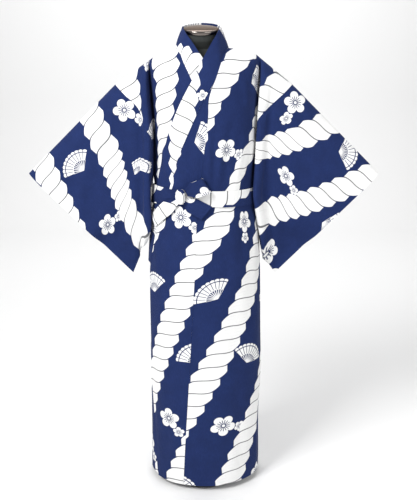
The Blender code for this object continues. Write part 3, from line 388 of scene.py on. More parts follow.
def smooth_path(points, counts):
    """Fine grid through a coarse one, along its first axis. Between two rows it is the cubic that
    leaves and meets them with the slope of a parabola through three rows, measured in roots of their
    distance."""
    step = np.diff(points, axis=0)
    pace = np.sqrt(np.linalg.norm(step[..., :3], axis=-1, keepdims=True)) + 1e-4
    slope = step / pace
    inner = slope[:-1] + slope[1:] - (step[:-1] + step[1:]) / (pace[:-1] + pace[1:])
    slope = np.concatenate([slope[:1], inner, slope[-1:]])
    part = np.append(np.repeat(np.arange(len(step)), counts), len(step) - 1)
    t = np.append(np.concatenate([np.arange(count) / count for count in counts]), 1.0)
    t = t.reshape(-1, *[1] * (points.ndim - 1))
    leave, meet = pace[part] * slope[part], pace[part] * slope[part + 1]
    return cubic(points[part], points[part + 1], leave, meet, t)


def fine(grid, row_step, column_step):
    """Grid refined both ways, until its rows and columns are about the given steps apart."""
    for axis, step in ((0, row_step), (1, column_step)):
        grid = np.swapaxes(grid, 0, axis)
        gaps = np.linalg.norm(np.diff(grid[..., :3], axis=0), axis=-1).mean(axis=1)
        counts = np.clip(np.ceil(gaps / step), 1, MOST_PARTS).astype(int)
        grid = np.swapaxes(smooth_path(grid, counts), 0, axis)
    return grid


def facing(points, wrap=False):
    """Unit normals of a grid: the cross product of its slopes both ways."""
    down, across = np.gradient(points, axis=0), np.gradient(points, axis=1)
    if wrap:
        across = np.roll(points, -1, axis=1) - np.roll(points, 1, axis=1)
    normal = np.cross(down, across)
    return normal / np.maximum(np.linalg.norm(normal, axis=-1, keepdims=True), 1e-12)


def half_width(side, height):
    """Half width of the wrapped body on one side."""
    return read(BODY, hand(side) + "_half", height)


def row_height(out, down, face, side):
    """Height of a panel's row at a distance from the middle."""
    top = read(RIDGE, "front" if face > 0 else "back", np.abs(out))
    if side < 0:
        top = top - read(RIDGE, "slope", np.abs(out))
    return top + (HEM_HEIGHT - top) * down / PANEL_DROP


def overlap_rise(side, height):
    """The wearer's left front lies over the right one below the neck."""
    return (OVERLAP_RISE if side > 0 else 0.0) * ramp(1.378, 1.318, height)


def collar_angle(side, height):
    """Where the collar is sewn on; the under layer is wrapped a little less far."""
    ease = 1.0 if side > 0 else 1.0 - 0.20 * ramp(1.15, 0.90, height)
    return side * ease * read(COLLAR_SEAM, "angle", height)


def front_edge(side, down):
    """Angle and height of a front panel's inner edge on one row: the collar's seam, then the
    overlap's."""
    height = row_height(0.04, down, 1, side)
    for _ in range(6):
        panel = side * read(OVERLAP_SEAM, "angle", height)
        angle = side * np.where(height > OVERLAP_TIP, collar_angle(side, height), panel)
        height = row_height(half_width(side, height) * np.sin(np.radians(angle)), down, 1, side)
    return angle, height


def neck_shift(height):
    """The neck sits a little to the wearer's right of the robe's middle."""
    return NECK_SHIFT * ramp(1.26, 1.37, height)


def panel_row(side, face, down, turn, columns, first=None):
    """Row of a body panel from its inner edge, or a first angle, to the given angle."""
    if first is None and face > 0:
        first, _ = front_edge(side, down)
    elif first is None:
        hole = max(float(read(NECK_HOLE, "out", down)), 0.0)
        half = half_width(side, row_height(hole, down, -1, side))
        first = np.degrees(np.arcsin(np.clip(hole / half, -1, 1)))
    spread = np.linspace(float(first), turn, columns)
    height = np.full(columns, float(row_height(0.08, down, face, side)))
    for _ in range(6):
        out = half_width(side, height) * np.sin(np.radians(np.minimum(spread, 90)))
        height = row_height(out, down, face, side)
    rise = overlap_rise(side, height)
    angle = spread * side
    if face < 0:
        rise = rise * ramp(66.0, 98.0, spread)
        angle = (180.0 - spread) * side
    points = body_point(angle, height, rise, cover(down))
    points[:, 0] += neck_shift(height) * ramp(0.16, 0.07, np.abs(points[:, 0]))
    if face < 0:
        points[:, 0] += side * SEAM_GAP * 0.5 * ramp(40.0, 20.0, spread)
    return points


def sleeve_place(out, height):
    """Distances along the sleeve from its start and down from its top edge, which slants at 45
    degrees."""
    east = out - SLEEVE_START[0]
    rise = height - SLEEVE_START[1]
    return (east - rise) * np.sqrt(0.5), -(east + rise) * np.sqrt(0.5)


def sleeve_depth(out, height):
    """Depth of a sleeve's layer from its middle plane: read along it, and closing at its bottom
    corner."""
    along, down = sleeve_place(out, height)
    depth = read(SLEEVE_DEPTH, "depth", along)
    closed = ramp(0.265, 0.315, down) * ramp(0.25, 0.375, along)
    return depth * (1 - closed) + SLEEVE_LEAST * closed


def fold_section(side, face, height):
    """Section through the valley and the rolled fold: points of distance out and depth."""
    names = list(SIDES[side])[1:]
    valley, low, roll, high, strip = (float(read(SIDES[side], name, height)) for name in names)
    if face < 0:
        high = high - 0.008
    edge = roll + strip
    plane = float(sleeve_depth(edge + 0.010, height))
    step = high - 0.0015 if side < 0 and face > 0 else 0.6 * high + 0.4 * plane
    return np.array([
        (valley, low), (valley + 0.35 * (roll - valley), low + 0.50 * (high - low)),
        (roll + 0.0005, high - 0.012), (roll + 0.0025, high - 0.003), (roll + 0.009, high),
        (edge - 0.004, step), (edge + 0.001, 0.35 * step + 0.65 * plane), (edge + 0.010, plane)])


def armhole_point(side, down):
    """Distance out and height of the armhole seam on one row."""
    return float(read(ARMHOLES[side], "out", down)), float(read(ARMHOLES[side], "height", down))


def seam_station(side, down):
    """Point of the fold's section that the armhole seam is on; BEYOND_FOLD where it is on none."""
    row = np.searchsorted(SEAM_STATION["down"], down + 1e-6) - 1
    return int(SEAM_STATION[hand(side)][row])


def seam_on_fold(side, face, down):
    """The seam's place in its fold section, the section's parts on either side, and the seam's
    height."""
    out, height = armhole_point(side, down)
    section = fold_section(side, face, height)
    station = seam_station(side, down)
    if station < BEYOND_FOLD:
        return section[station], section[:station], section[station + 1:], height
    if out > section[-1, 0]:
        return np.array([out, float(sleeve_depth(out, height))]), section, section[:0], height
    seam = np.array([out, np.interp(out, section[2:, 0], section[2:, 1])])
    return seam, section[section[:, 0] < out - 0.003], section[section[:, 0] > out + 0.003], height


def divide(path, count, piece):
    """Path with one of its pieces divided evenly, to have count points in all."""
    steps = np.linspace(0, 1, count - len(path) + 2)[1:-1, None]
    middle = path[piece] * (1 - steps) + path[piece + 1] * steps
    return np.vstack([path[:piece + 1], middle, path[piece + 1:]])


def side_row(side, face, down, start):
    """Row of a body panel from the body's turn, through the valley, to the armhole seam."""
    seam, inside, _, height = seam_on_fold(side, face, down)
    rounded = np.array([1.0, float(cover(down))])
    path = np.vstack([np.abs(start[:2]), inside * rounded, seam * rounded])
    if seam_station(side, down) == 0:
        first = [seam_station(side, row) for row in ARM_ROWS].index(0)
        crowd = CROWDING[ARM_ROWS.index(down) - first]
        path = path[0] + (path[1] - path[0]) * (np.linspace(0, 1, SIDE_COLUMNS) ** crowd)[:, None]
    else:
        path = divide(path, SIDE_COLUMNS, len(path) - 2)
    steps = running(path)
    heights = start[2] + (height - start[2]) * steps / steps[-1]
    return joined(path[:, 0] * side, -face * path[:, 1], heights)


def body_rows(side, face):
    """All rows of one face of a body panel, down from the shoulder line."""
    rows = []
    last = SIDE_ANGLE if face > 0 else 180.0 - SIDE_ANGLE
    for down in BODY_ROWS:
        chest = panel_row(side, face, down, TURN_ANGLE, CHEST_COLUMNS)
        if down > ARMHOLE:
            beyond = panel_row(side, face, down, last, SIDE_COLUMNS, TURN_ANGLE)
        else:
            beyond = side_row(side, face, down, chest[-1])
        rows.append(np.vstack([chest, beyond[1:]]))
    grid = np.array(rows)
    grid[len(ARM_ROWS):, -1, 1] -= face * SEAM_GAP * 0.7
    return grid


def sleeve_rows(side, face):
    """All rows of one face of a sleeve, from its top edge down: from its seam over the rolled fold to
    the knee where it leaves the body, then straight to the cuff."""
    rows = []
    for down in SLEEVE_ROWS:
        seam, _, outside, height = seam_on_fold(side, face, down)
        if down > ARMHOLE:
            seam = np.array([armhole_point(side, down)[0], 0.0005])
        first = np.vstack([seam, outside])
        folded = len(first) > 1
        first = joined(*first.T, height - (0.020 * np.linspace(0, 1, len(first)) if folded else 0.0))
        share = down / SLEEVE_DROP
        cuff = np.array(CUFF_TOP) * (1 - share) + np.array(CUFF_BOTTOM) * share
        knee = first[-1, ::2]
        reach = (0.012 if folded else 0.036) / np.linalg.norm(cuff - knee)
        line = knee + (cuff - knee) * np.linspace(reach, 1, 7)[:, None]
        second = joined(line[:, 0], sleeve_depth(line[:, 0], line[:, 1]), line[:, 1])
        inner = divide(np.vstack([first, second[:1]]), 9, 0)
        rows.append(close_bottom(np.vstack([inner, second[1:]]), down))
    return np.array(rows)


def close_bottom(row, down):
    """Round the row over the shoulder line, and narrow it to the sleeve's bottom seam."""
    row[:, 1] *= float(cover(down))
    if down > ARMHOLE:
        left = min((SLEEVE_DROP - down) / BOTTOM_ROUND, 1.0)
        closing = np.sqrt(max(1 - (1 - left) ** 2, 0.0))
        edge = row[0, 0]
        row[1:, 1] = np.maximum(row[1:, 1] * closing, SLEEVE_LEAST)
        row[:, 0] = np.where(row[:, 0] < edge, edge + (row[:, 0] - edge) * closing, row[:, 0])
        order = np.linspace(0, 0.022, 9) + edge
        row[:9, 0] = row[:9, 0] * closing + np.maximum(row[:9, 0], order) * (1 - closing)
    return row


def over_top(front, back):
    """One grid from both faces of a panel, from the back's last row over the top to the front's
    last."""
    front[0, :, 1] = 0.0
    return np.vstack([back[:0:-1], front])


def both_ways(rows):
    """Distances of such a grid's rows from its top, negative behind."""
    down = np.array(rows)
    return np.concatenate([-down[:0:-1], down])[:, None]


def with_extras(grid, cut, free):
    """Grid of points with two flat sizes of the cut and a share of relief added to each."""
    cut = np.broadcast_to(cut, (*grid.shape[:2], 2))
    free = np.broadcast_to(free, grid.shape[:2])
    return np.concatenate([grid, cut, free[..., None]], axis=-1)


def arc_length(grid, axis):
    """Distance run along one way of a grid, from its first row or column."""
    gaps = np.linalg.norm(np.diff(grid[..., :3], axis=axis), axis=-1)
    start = np.zeros_like(np.take(gaps, [0], axis=axis))
    return np.concatenate([start, np.cumsum(gaps, axis=axis)], axis=axis)


def stitch_place(outer, cut, edges):
    """For each point, its distance from the nearest sewn or hemmed edge, and the length run along that
    edge."""
    across, down = arc_length(outer, 1), arc_length(outer, 0)
    far = {"first": across, "last": across[:, -1:] - across, "top": down, "bottom": down[-1:] - down}
    nearest = np.full(outer.shape[:2], 1.0)
    run = cut[..., 1]
    for name in edges.split():
        nearer = far[name] < nearest
        nearest = np.where(nearer, far[name], nearest)
        run = np.where(nearer, cut[..., 1 if name in ("first", "last") else 0], run)
    return joined(nearest, run)


def cloth(name, outer, cut, spot, thickness, material,
          edges="first last top bottom", wrap=False, way=None):
    """Closed wall of cloth: the outer grid, and the same grid moved in along its unit normals by the
    thickness. A shallow trough runs beside each sewn edge. The normal at the spot, a row and a column,
    faces the given way, or away from the robe's axis. The flat sizes are moved to the piece's own place
    on the printed bolt."""
    if way is None:
        way = outer[spot] * (1.0, 1.0, 0.0)
    cut = cut + np.array(PRINT_SHIFT[name])
    if np.dot(facing(outer, wrap)[spot], way) < 0:
        outer, cut = outer[:, ::-1], cut[:, ::-1]
    normal = facing(outer, wrap)
    stitch = stitch_place(outer, cut, edges)
    outer = outer - normal * (np.exp(-((stitch[..., :1] - STITCH_IN) / 0.0030) ** 2) * 0.00045)
    inner = outer - normal * thickness
    rows, columns = outer.shape[:2]
    under = rows * columns
    index = np.arange(under).reshape(rows, columns)
    if wrap:
        index = np.column_stack([index, index[:, 0]])
    faces = [quads(index), quads(index)[:, ::-1] + under]
    lines = [index[0, ::-1], index[-1, :]]
    if not wrap:
        lines += [index[:, 0], index[::-1, -1]]
    for line in lines:
        start, end = line[:-1], line[1:]
        faces.append(joined(end, start, start + under, end + under))
    points = np.concatenate([outer.reshape(-1, 3), inner.reshape(-1, 3)])
    maps = {"cut": np.tile(cut.reshape(-1, 2), (2, 1)), "stitch": np.tile(stitch.reshape(-1, 2), (2, 1))}
    return mesh_piece(name + "_cloth", points, np.concatenate(faces), material, maps)


def quads(index):
    """Faces between the neighbours of a grid of point numbers."""
    return joined(index[:-1, :-1], index[1:, :-1], index[1:, 1:], index[:-1, 1:]).reshape(-1, 4)


def smooth_mesh(name, points, faces, material):
    """Smooth mesh of points and faces with one material."""
    mesh = bpy.data.meshes.new(name)
    mesh.from_pydata(points.tolist(), [], faces.tolist() if hasattr(faces, "tolist") else faces)
    mesh.polygons.foreach_set("use_smooth", np.ones(len(mesh.polygons), dtype=bool))
    mesh.materials.append(material)
    return mesh


def linked(name, data, place=(0.0, 0.0, 0.0), turn=(0.0, 0.0, 0.0)):
    """Object of the scene with the given data, place and turn."""
    thing = bpy.data.objects.new(name, data)
    thing.location, thing.rotation_euler = place, turn
    bpy.context.scene.collection.objects.link(thing)
    return thing


def mesh_piece(name, points, faces, material, maps):
    """Smooth mesh with sharp rims on the frame's root, and a UV map for each pair of values in maps."""
    mesh = smooth_mesh(name, points, faces, material)
    mesh.update()
    corners = np.empty(len(mesh.loops), dtype=np.int32)
    mesh.loops.foreach_get("vertex_index", corners)
    for label, values in maps.items():
        layer = mesh.uv_layers.new(name=label)
        layer.data.foreach_set("uv", values[corners].astype(np.float32).ravel())
    mesh.set_sharp_from_angle(angle=np.radians(52))
    thing = linked(name, mesh)
    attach(thing, "root")
    return thing


# Materials

def sum_of(operation, swapped=False):
    """Method that adds a Math node for a term and another value, in either order."""
    if swapped:
        return lambda term, other: term.tree(operation, other, term)
    return lambda term, other: term.tree(operation, term, other)


class Term:
    """A result in a shader tree. Sums written with terms add Math nodes to the tree, in the order
    written; a | b is the greater of the two."""

    __add__ = __radd__ = sum_of("ADD")
    __sub__, __rsub__ = sum_of("SUBTRACT"), sum_of("SUBTRACT", True)
    __mul__ = __rmul__ = sum_of("MULTIPLY")
    __truediv__, __pow__ = sum_of("DIVIDE"), sum_of("POWER")
    __or__, __gt__, __lt__ = sum_of("MAXIMUM"), sum_of("GREATER_THAN"), sum_of("LESS_THAN")

    def __init__(self, tree, socket):
        self.tree, self.socket = tree, socket

    def __abs__(self):
        return self.tree("ABSOLUTE", self)

    def clamped(self):
        """The same result, which its node now keeps between 0 and 1."""
        self.socket.node.use_clamp = True
        return self


for _word in ("FLOOR", "FRACT", "SIGN", "SINE", "COSINE", "SQRT"):
    setattr(Term, _word.lower(), lambda term, word=_word: term.tree(word, term))


class Tree:
    """One material's shader nodes. Called with an operation and its values, it adds a Math node."""

    def __init__(self, material):
        self.nodes, self.links = material.node_tree.nodes, material.node_tree.links

    def node(self, kind, inputs=(), output=0, **settings):
        """Result of a new node with its settings, and its inputs by name or number."""
        made = self.nodes.new(kind)
        for key, value in settings.items():
            setattr(made, key, value)
        for key, value in dict(inputs).items():
            self.join(value, made.inputs[key])
        return Term(self, made.outputs[output])

    def join(self, value, socket):
        """Link a term to a socket, or set the socket to a number or colour."""
        if isinstance(value, Term):
            self.links.new(value.socket, socket)
        else:
            socket.default_value = value

    def __call__(self, operation, *values):
        return self.node("ShaderNodeMath", enumerate(values), operation=operation)

    def mix(self, share, low, high):
        """Colour between two."""
        return self.node("ShaderNodeMix", {0: share, 6: low, 7: high}, 2, data_type="RGBA")

    def map(self, label):
        """Both values of a UV map."""
        split = self.node("ShaderNodeSeparateXYZ", {0: self.node("ShaderNodeUVMap", uv_map=label)})
        return split, Term(self, split.socket.node.outputs[1])

    def noise(self, scale, detail=3.0, stretch=None):
        """Noise over the object's own space, or over the flat sizes of the cut stretched both ways."""
        if stretch:
            flat = self.node("ShaderNodeUVMap", uv_map="cut")
            place = self.node("ShaderNodeMapping", {0: flat, "Scale": stretch})
        else:
            place = self.node("ShaderNodeTexCoord", output="Object")
        inputs = {"Vector": place, "Scale": scale, "Detail": detail}
        return self.node("ShaderNodeTexNoise", inputs, "Fac")


def edge(inside, soft=0.0007):
    """1 where a distance is positive, 0 where it is negative, with a soft step between."""
    return (inside / soft + 0.5).clamped()


def centred(value):
    """Distance of a value from its nearest whole number, from -0.5 to 0.5."""
    return (value + 0.5).fract() - 0.5


def rope_print(u, v, look):
    """Shares of white and of strand line in the print. Ropes run down the cloth at a slant, a spacing
    apart. A rope's strands are steps of its length, skewed across it in an S. At both edges each strand
    starts a little narrow, swells, and rounds off under the next one."""
    cosine, sine = float(np.cos(look.rope_slant)), float(np.sin(look.rope_slant))
    across, along = u * cosine + v * sine, v * cosine - u * sine
    turn = across / look.rope_spacing
    off = centred(turn) * look.rope_spacing
    rope = (turn + 0.5).floor()
    share = off / (look.rope_width / 2)
    curl = abs(share) ** 3.0 * (share.sign() * STRAND_CURL)
    skew = off * float(np.tan(look.rope_slant)) + curl
    phase = (along + skew + rope * ROPE_STAGGER) / look.strand_pitch
    strand = abs(centred(phase))
    step = (phase.fract() - 0.5) * share.sign() + 0.5
    head = (1.0 - step / 0.62).clamped()
    tail = ((step - 0.50) / 0.50).clamped() ** 2.8
    half = look.rope_width / 2 - (head * 0.0085 + tail * 0.0165)
    line = edge(abs(share) * 0.0008 + 0.0015 - strand * look.strand_pitch, LINE_SOFT)
    fibre = edge(0.0005 - abs(centred(phase * 4.0)) * (look.strand_pitch / 4), LINE_SOFT)
    short = (0.42 - abs(abs(share) - 0.55)).clamped()
    fibre = fibre * (short * 0.9).clamped()
    return edge(half - abs(off)), line | fibre * 0.45, turn, along


def motif_print(turn, along, look):
    """Share of white in the small motifs between the ropes: plum blossoms and folding fans by turns.
    Each stands in a cell of its own, and is drawn by its distance and direction from a turned
    centre."""
    lane = turn.floor()
    aside = (turn.fract() - 0.5) * look.rope_spacing
    place = (along + lane * LANE_STAGGER) / look.motif_spacing
    cell = place.floor()
    below = (place.fract() - 0.5) * look.motif_spacing
    seed = cell * 1.9 + lane * 2.7
    aside = aside + (seed * 1.3).sine() * 0.010
    swing = seed.sine() * 1.1
    cosine, sine = swing.cosine(), swing.sine()
    east, north = aside * cosine + below * sine, aside * sine - below * cosine
    fans = ((cell + lane) * 0.5).fract() > 0.25
    bloom = blossom(east, north, BLOSSOM) | blossom(east - 0.030, north + 0.040, BLOSSOM / 2)
    return bloom * (1.0 - fans) + fan(east, north + 0.030) * fans


def polar(east, north):
    """Distance and direction from a motif's centre."""
    return (east * east + north * north).sqrt(), east.tree("ARCTAN2", east, north)


def blossom(east, north, radius):
    """Plum blossom: five round petals, whose edge is a power of the cosine of five half turns, with
    navy stamens round a ring."""
    far, way = polar(east, north)
    lobe = abs((way * 2.5).cosine()) ** 0.55
    white = edge((lobe * 0.48 + 0.52) * radius - far)
    ring = edge(0.040 * radius - abs(far - 0.17 * radius))
    ray = abs(centred(way * (STAMENS / (2 * np.pi)))) * far
    ray = edge(0.030 * radius - ray * (2 * np.pi / STAMENS))
    ray = ray * edge(0.17 * radius - abs(far - 0.38 * radius))
    return white * (1.0 - (ring | ray))


def fan(east, north):
    """Folding fan: a sector of pleats with a scalloped rim, above thin ribs that meet at a rivet."""
    far, way = polar(east, north)
    inside = edge((1.10 - abs(way)) * far)
    pleat = abs(centred(way * PLEATS))
    gap = pleat * far * (1 / PLEATS)
    rim = FAN - (0.5 - pleat) * 0.0045
    paper = edge(rim - 0.045 - abs(far - 0.045)) * edge(far - 0.030)
    paper = paper * (1.0 - (edge(0.0009 - gap) | edge(0.0014 - abs(far - 0.055))))
    ribs = edge(0.0011 - gap) * edge(0.032 - far)
    return inside * (paper | ribs)


def new_material(name, roughness, metallic=0.0, sheen=0.0):
    """Principled material with its constants set on its own sockets."""
    material = bpy.data.materials.new(name)
    material.use_nodes = True
    shader = material.node_tree.nodes["Principled BSDF"]
    shader.inputs["Roughness"].default_value = roughness
    shader.inputs["Metallic"].default_value = metallic
    shader.inputs["Sheen Weight"].default_value = sheen
    shader.inputs["Sheen Roughness"].default_value = 0.45
    return material, shader.inputs, Tree(material)


def bump(m, inputs, height, distance, strength):
    """Bump from a height on a shader's normal."""
    made = m.node("ShaderNodeBump", {"Distance": distance, "Strength": strength, "Height": height})
    m.join(made, inputs["Normal"])


def shade(colour, share=1.0):
    """A share of a colour, with full alpha."""
    return (*(share * part for part in colour), 1.0)


def printed_cotton(name, look, roughness, yarn, weave):
    """Navy cotton with the rope print, uneven dye, a plain weave and sewn stitches beside its edges."""
    material, inputs, m = new_material(name, roughness, sheen=0.02)
    inputs["Specular IOR Level"].default_value = 0.15
    u, v = m.map("cut")
    white, line, turn, along = rope_print(u, v, look)
    motif = motif_print(turn, along, look) * (1.0 - white)
    dye = m.noise(26.0, 4.0) * m.noise(340.0, 2.0, (1.0, 0.25, 1.0))
    ground = m.mix((dye * 2.2).clamped(), shade(look.navy, 0.70), shade(look.navy))
    chalk = m.mix(m.noise(180.0, 2.0, (1.0, 0.4, 1.0)), shade(look.white, 0.93), shade(look.white))
    colour = m.mix(white | motif, ground, chalk)
    m.join(m.mix(line * white * 0.86, colour, shade(look.strand_line)), inputs["Base Color"])
    over = (u * (2 * np.pi / yarn)).sine() * (v * (2 * np.pi / yarn)).sine()
    slub = m.noise(420.0, 2.0, (1.0, 0.12, 1.0))
    far, run = m.map("stitch")
    row = edge(0.0006 - abs(far - STITCH_IN), 0.0004)
    dash = (run / STITCH_PITCH).fract() < STITCH_SHARE
    bump(m, inputs, over * weave + slub * 1.1 - row * dash * 1.6, distance=0.00022, strength=0.55)
    m.join(slub * 0.10 + (roughness - 0.05), inputs["Roughness"])
    return material


def jersey(name):
    """Dark knit over the form: columns of stitches, and a slightly uneven colour."""
    material, inputs, m = new_material(name, 0.88, sheen=0.15)
    u, v = m.map("cut")
    knit = m.mix(m.noise(60.0), (0.014, 0.017, 0.016, 1.0), (0.030, 0.035, 0.033, 1.0))
    m.join(knit, inputs["Base Color"])
    columns = abs((u * (np.pi / 0.0014)).sine())
    rows = (v * (2 * np.pi / 0.0011) + columns * 2.0).sine()
    bump(m, inputs, columns + rows * 0.4, distance=0.0003, strength=0.5)
    return material


def metal(name, colour, roughness, grain, brushed):
    """Metal whose polish varies a little: noise drawn out round the turned shape."""
    material, inputs, m = new_material(name, roughness, metallic=1.0)
    inputs["Base Color"].default_value = shade(colour)
    inputs["Specular Tint"].default_value = shade(colour, 2.1)
    marks = m.noise(grain, 4.0, (0.15, brushed, 1.0))
    m.join(marks * 0.12 + (roughness - 0.06), inputs["Roughness"])
    bump(m, inputs, marks, distance=0.00005, strength=0.25)
    return material


def enamel(name, colour):
    """Dark paint on iron, with a fine orange peel."""
    material, inputs, m = new_material(name, 0.42)
    m.join(m.mix(m.noise(14.0, 4.0), shade(colour, 0.8), shade(colour)), inputs["Base Color"])
    bump(m, inputs, m.noise(900.0, 2.0), distance=0.00008, strength=0.4)
    return material


# Pieces

def body_extras(side):
    """Coarse grid of a body panel, from the back's hem over the shoulder to the front's, with its flat
    sizes and its share of relief."""
    grid = over_top(body_rows(side, 1), body_rows(side, -1))
    down = both_ways(BODY_ROWS)
    chest = grid[:, :CHEST_COLUMNS]
    face = np.where(np.arange(len(grid)) < len(BODY_ROWS) - 1, -1, 1)[:, None]
    turn = np.arctan2(side * chest[..., 0] / BODY_RADII[0], -face * chest[..., 1] / BODY_RADII[1])
    inner = np.degrees(turn) * ARC
    beyond = inner[:, -1:] + arc_length(grid[:, CHEST_COLUMNS - 1:], 1)[:, 1:]
    near = ramp(0.10, 0.02, np.abs(down))
    inner = inner * (1 - near) + np.minimum(side * chest[..., 0], 0.16) * near
    cut = joined(np.concatenate([inner, beyond], axis=1) * side, down)
    column = np.arange(grid.shape[1])
    free = np.where(column < CHEST_COLUMNS, 1.0, np.maximum(1 - (column - CHEST_COLUMNS + 1) / 4, 0))
    free = np.where(np.abs(down) > FREE_BELOW, 1.0, free) * ramp(0.02, 0.12, np.abs(down))
    return with_extras(grid, cut, free)


def sleeve_extras(side):
    """Coarse grid of a sleeve, from its bottom up the back, over the top and down the front, with its
    flat sizes, along it and down from its top edge."""
    grid = over_top(*(sleeve_rows(side, face) * (side, -face, 1.0) for face in (1, -1)))
    along, _ = sleeve_place(np.abs(grid[..., 0]), grid[..., 2])
    return with_extras(grid, joined(along * side, both_ways(SLEEVE_ROWS)), 1.0)


def sleeve_lifted(points):
    """Points of a sleeve moved out from its middle plane by its creases, none of them at its seams."""
    along, down = sleeve_place(np.abs(points[..., 0]), points[..., 2])
    face = np.where(np.arange(len(points))[:, None] >= len(points) // 2, 1.0, -1.0)
    lift = np.where(face > 0, creases(SLEEVE_FRONT, along, down), creases(SLEEVE_BACK, along, down))
    lift = lift + 0.0007 * np.sin(21 * along + 2.0) * np.sin(17 * down + face)
    room = ramp(0.185, 0.235, np.abs(points[..., 0])) * ramp(0.004, 0.020, np.abs(points[..., 1]))
    closed = 1 - ramp(0.40, 0.46, down) * ramp(0.30, 0.22, along)
    moved = points.copy()
    moved[..., 1] -= face * lift * room * closed
    return moved


def swung(cut, side):
    """Cut place of a front panel whose grain swings to the left on its way down, as the fronts are
    wrapped."""
    across, down = cut[..., 0], cut[..., 1]
    swing = -read_straight(SWING[side], "swing", down)
    if side > 0:
        swing = swing + read_straight(SIDE_PULL, "pull", down) * ramp(0.05, 0.15, across)
    return joined(across + swing, down)


def read_straight(source, column, at):
    """Straight lines through one column of a table, read along its first column."""
    return np.interp(at, source[next(iter(source))], source[column])


def make_body(side, material):
    """Body panel: the body's ellipses in front and behind, then the side's fold, with the relief on
    them."""
    grid = fine(body_extras(side), BODY_STEP * 1.35, BODY_STEP)
    points = lifted(grid[..., :3], np.clip(grid[..., 5], 0, 1))
    cut = swung(grid[..., 3:5], side)
    return cloth("body_" + hand(side), points, cut, (-40, 12), CLOTH, material, way=FRONT)


def make_sleeve(side, material):
    """Sleeve: two layers about a slanting plane, joined over the top, a hair off the body at their
    seam."""
    grid = fine(sleeve_extras(side), SLEEVE_STEP, SLEEVE_STEP)
    points = sleeve_lifted(grid[..., :3])
    aside = np.cross(np.gradient(points[:, 0], axis=0), facing(points)[:, 0])
    aside *= np.sign(np.sum(aside * (points[:, 1] - points[:, 0]), axis=-1, keepdims=True))
    points[:, 0] += aside / np.linalg.norm(aside, axis=-1, keepdims=True) * SEAM_GAP * 1.3
    return cloth("sleeve_" + hand(side), points, grid[..., 3:5], (-40, -20), CLOTH, material, way=FRONT)


def make_overlap(side, material):
    """Overlap panel: each row runs on the body's ellipse from the panel's seam to the collar, or to its
    free edge further down."""
    rows, cuts = [], []
    for down in BODY_ROWS:
        angle, height = front_edge(side, down)
        if height > OVERLAP_TIP:
            continue
        if height > COLLAR_END:
            end = float(collar_angle(side, height)) * side
        else:
            end = float(read(FREE_EDGE, "angle", height)) * (1.0 if side > 0 else UNDER_SHARE)
        spread = np.linspace(angle - np.degrees(SEAM_GAP / 0.12), end, 8) * side
        rows.append(body_point(spread, np.full(8, height), overlap_rise(side, height), cover(down)))
        cuts.append(joined(spread * ARC, down))
    grid = fine(with_extras(np.array(rows), np.array(cuts), 1.0), SLEEVE_STEP * 1.35, SLEEVE_STEP)
    points, cut = lifted(grid[..., :3], 1.0), grid[..., 3:5].copy()
    if side > 0:
        cut[..., 0] -= read_straight(EDGE_PULL, "pull", cut[..., 1]) * ramp(-0.085, -0.125, cut[..., 0])
    return cloth("overlap_" + hand(side), points, cut, (40, points.shape[1] // 2), CLOTH, material)


def collar_stations(side):
    """Lines across half the collar, from the back centre to its lower end."""
    lines = []
    share = np.array([0.0, 0.22, 0.48, 0.74, 1.0])[:, None]
    for down in ARM_ROWS[5::-1]:
        seam = panel_row(side, -1, down, TURN_ANGLE, CHEST_COLUMNS)[0]
        out, depth, height = (read(COLLAR_BACK, name, down) for name in ("out", "depth", "height"))
        lines.append(seam + (np.array([side * out + NECK_SHIFT, -depth, height]) - seam) * share)
    for down in BODY_ROWS[1:]:
        _, height = front_edge(side, down)
        if height > COLLAR_END - 0.02:
            lines.append(collar_line(side, float(height), down, share))
    return np.array(lines)


def collar_line(side, height, down, share):
    """Line across the collar in front: lying on the body, or standing at the neck."""
    rise = overlap_rise(side, height) + COLLAR_RISE
    angle = float(collar_angle(side, height)) * side
    slope = read(COLLAR_SEAM, "angle", height + 0.02) - read(COLLAR_SEAM, "angle", height - 0.02)
    lean = np.arctan2(np.radians(slope) * 0.130, 0.04)
    across, up = COLLAR_WIDTH * np.cos(lean), COLLAR_WIDTH * np.sin(lean)
    turn = angle
    for _ in range(10):
        half, depth = body_radii(turn * side >= 0, True, height)
        pace = np.hypot(half * np.cos(np.radians(turn)), depth * np.sin(np.radians(turn)))
        turn = turn - np.degrees(across * 0.1 / pace)
    lying = body_point((angle + (turn - angle) * share[:, 0]) * side, height + up * share[:, 0],
                       rise, cover(down))
    seam = body_point(angle * side, height, rise, cover(down))
    seam[0] += neck_shift(height) * ramp(0.16, 0.07, abs(seam[0]))
    crossing = 0.003 * (side > 0) * np.exp(-((height - 1.275) / 0.030) ** 2)
    out, depth, top = (read(COLLAR_STAND, name, height) for name in ("out", "depth", "height"))
    edge_point = np.array([side * out + neck_shift(height), -depth - rise - crossing, top])
    standing = seam + (edge_point - seam) * share
    blend = ramp(1.235, 1.290, height)
    return lying * (1 - blend) + standing * blend


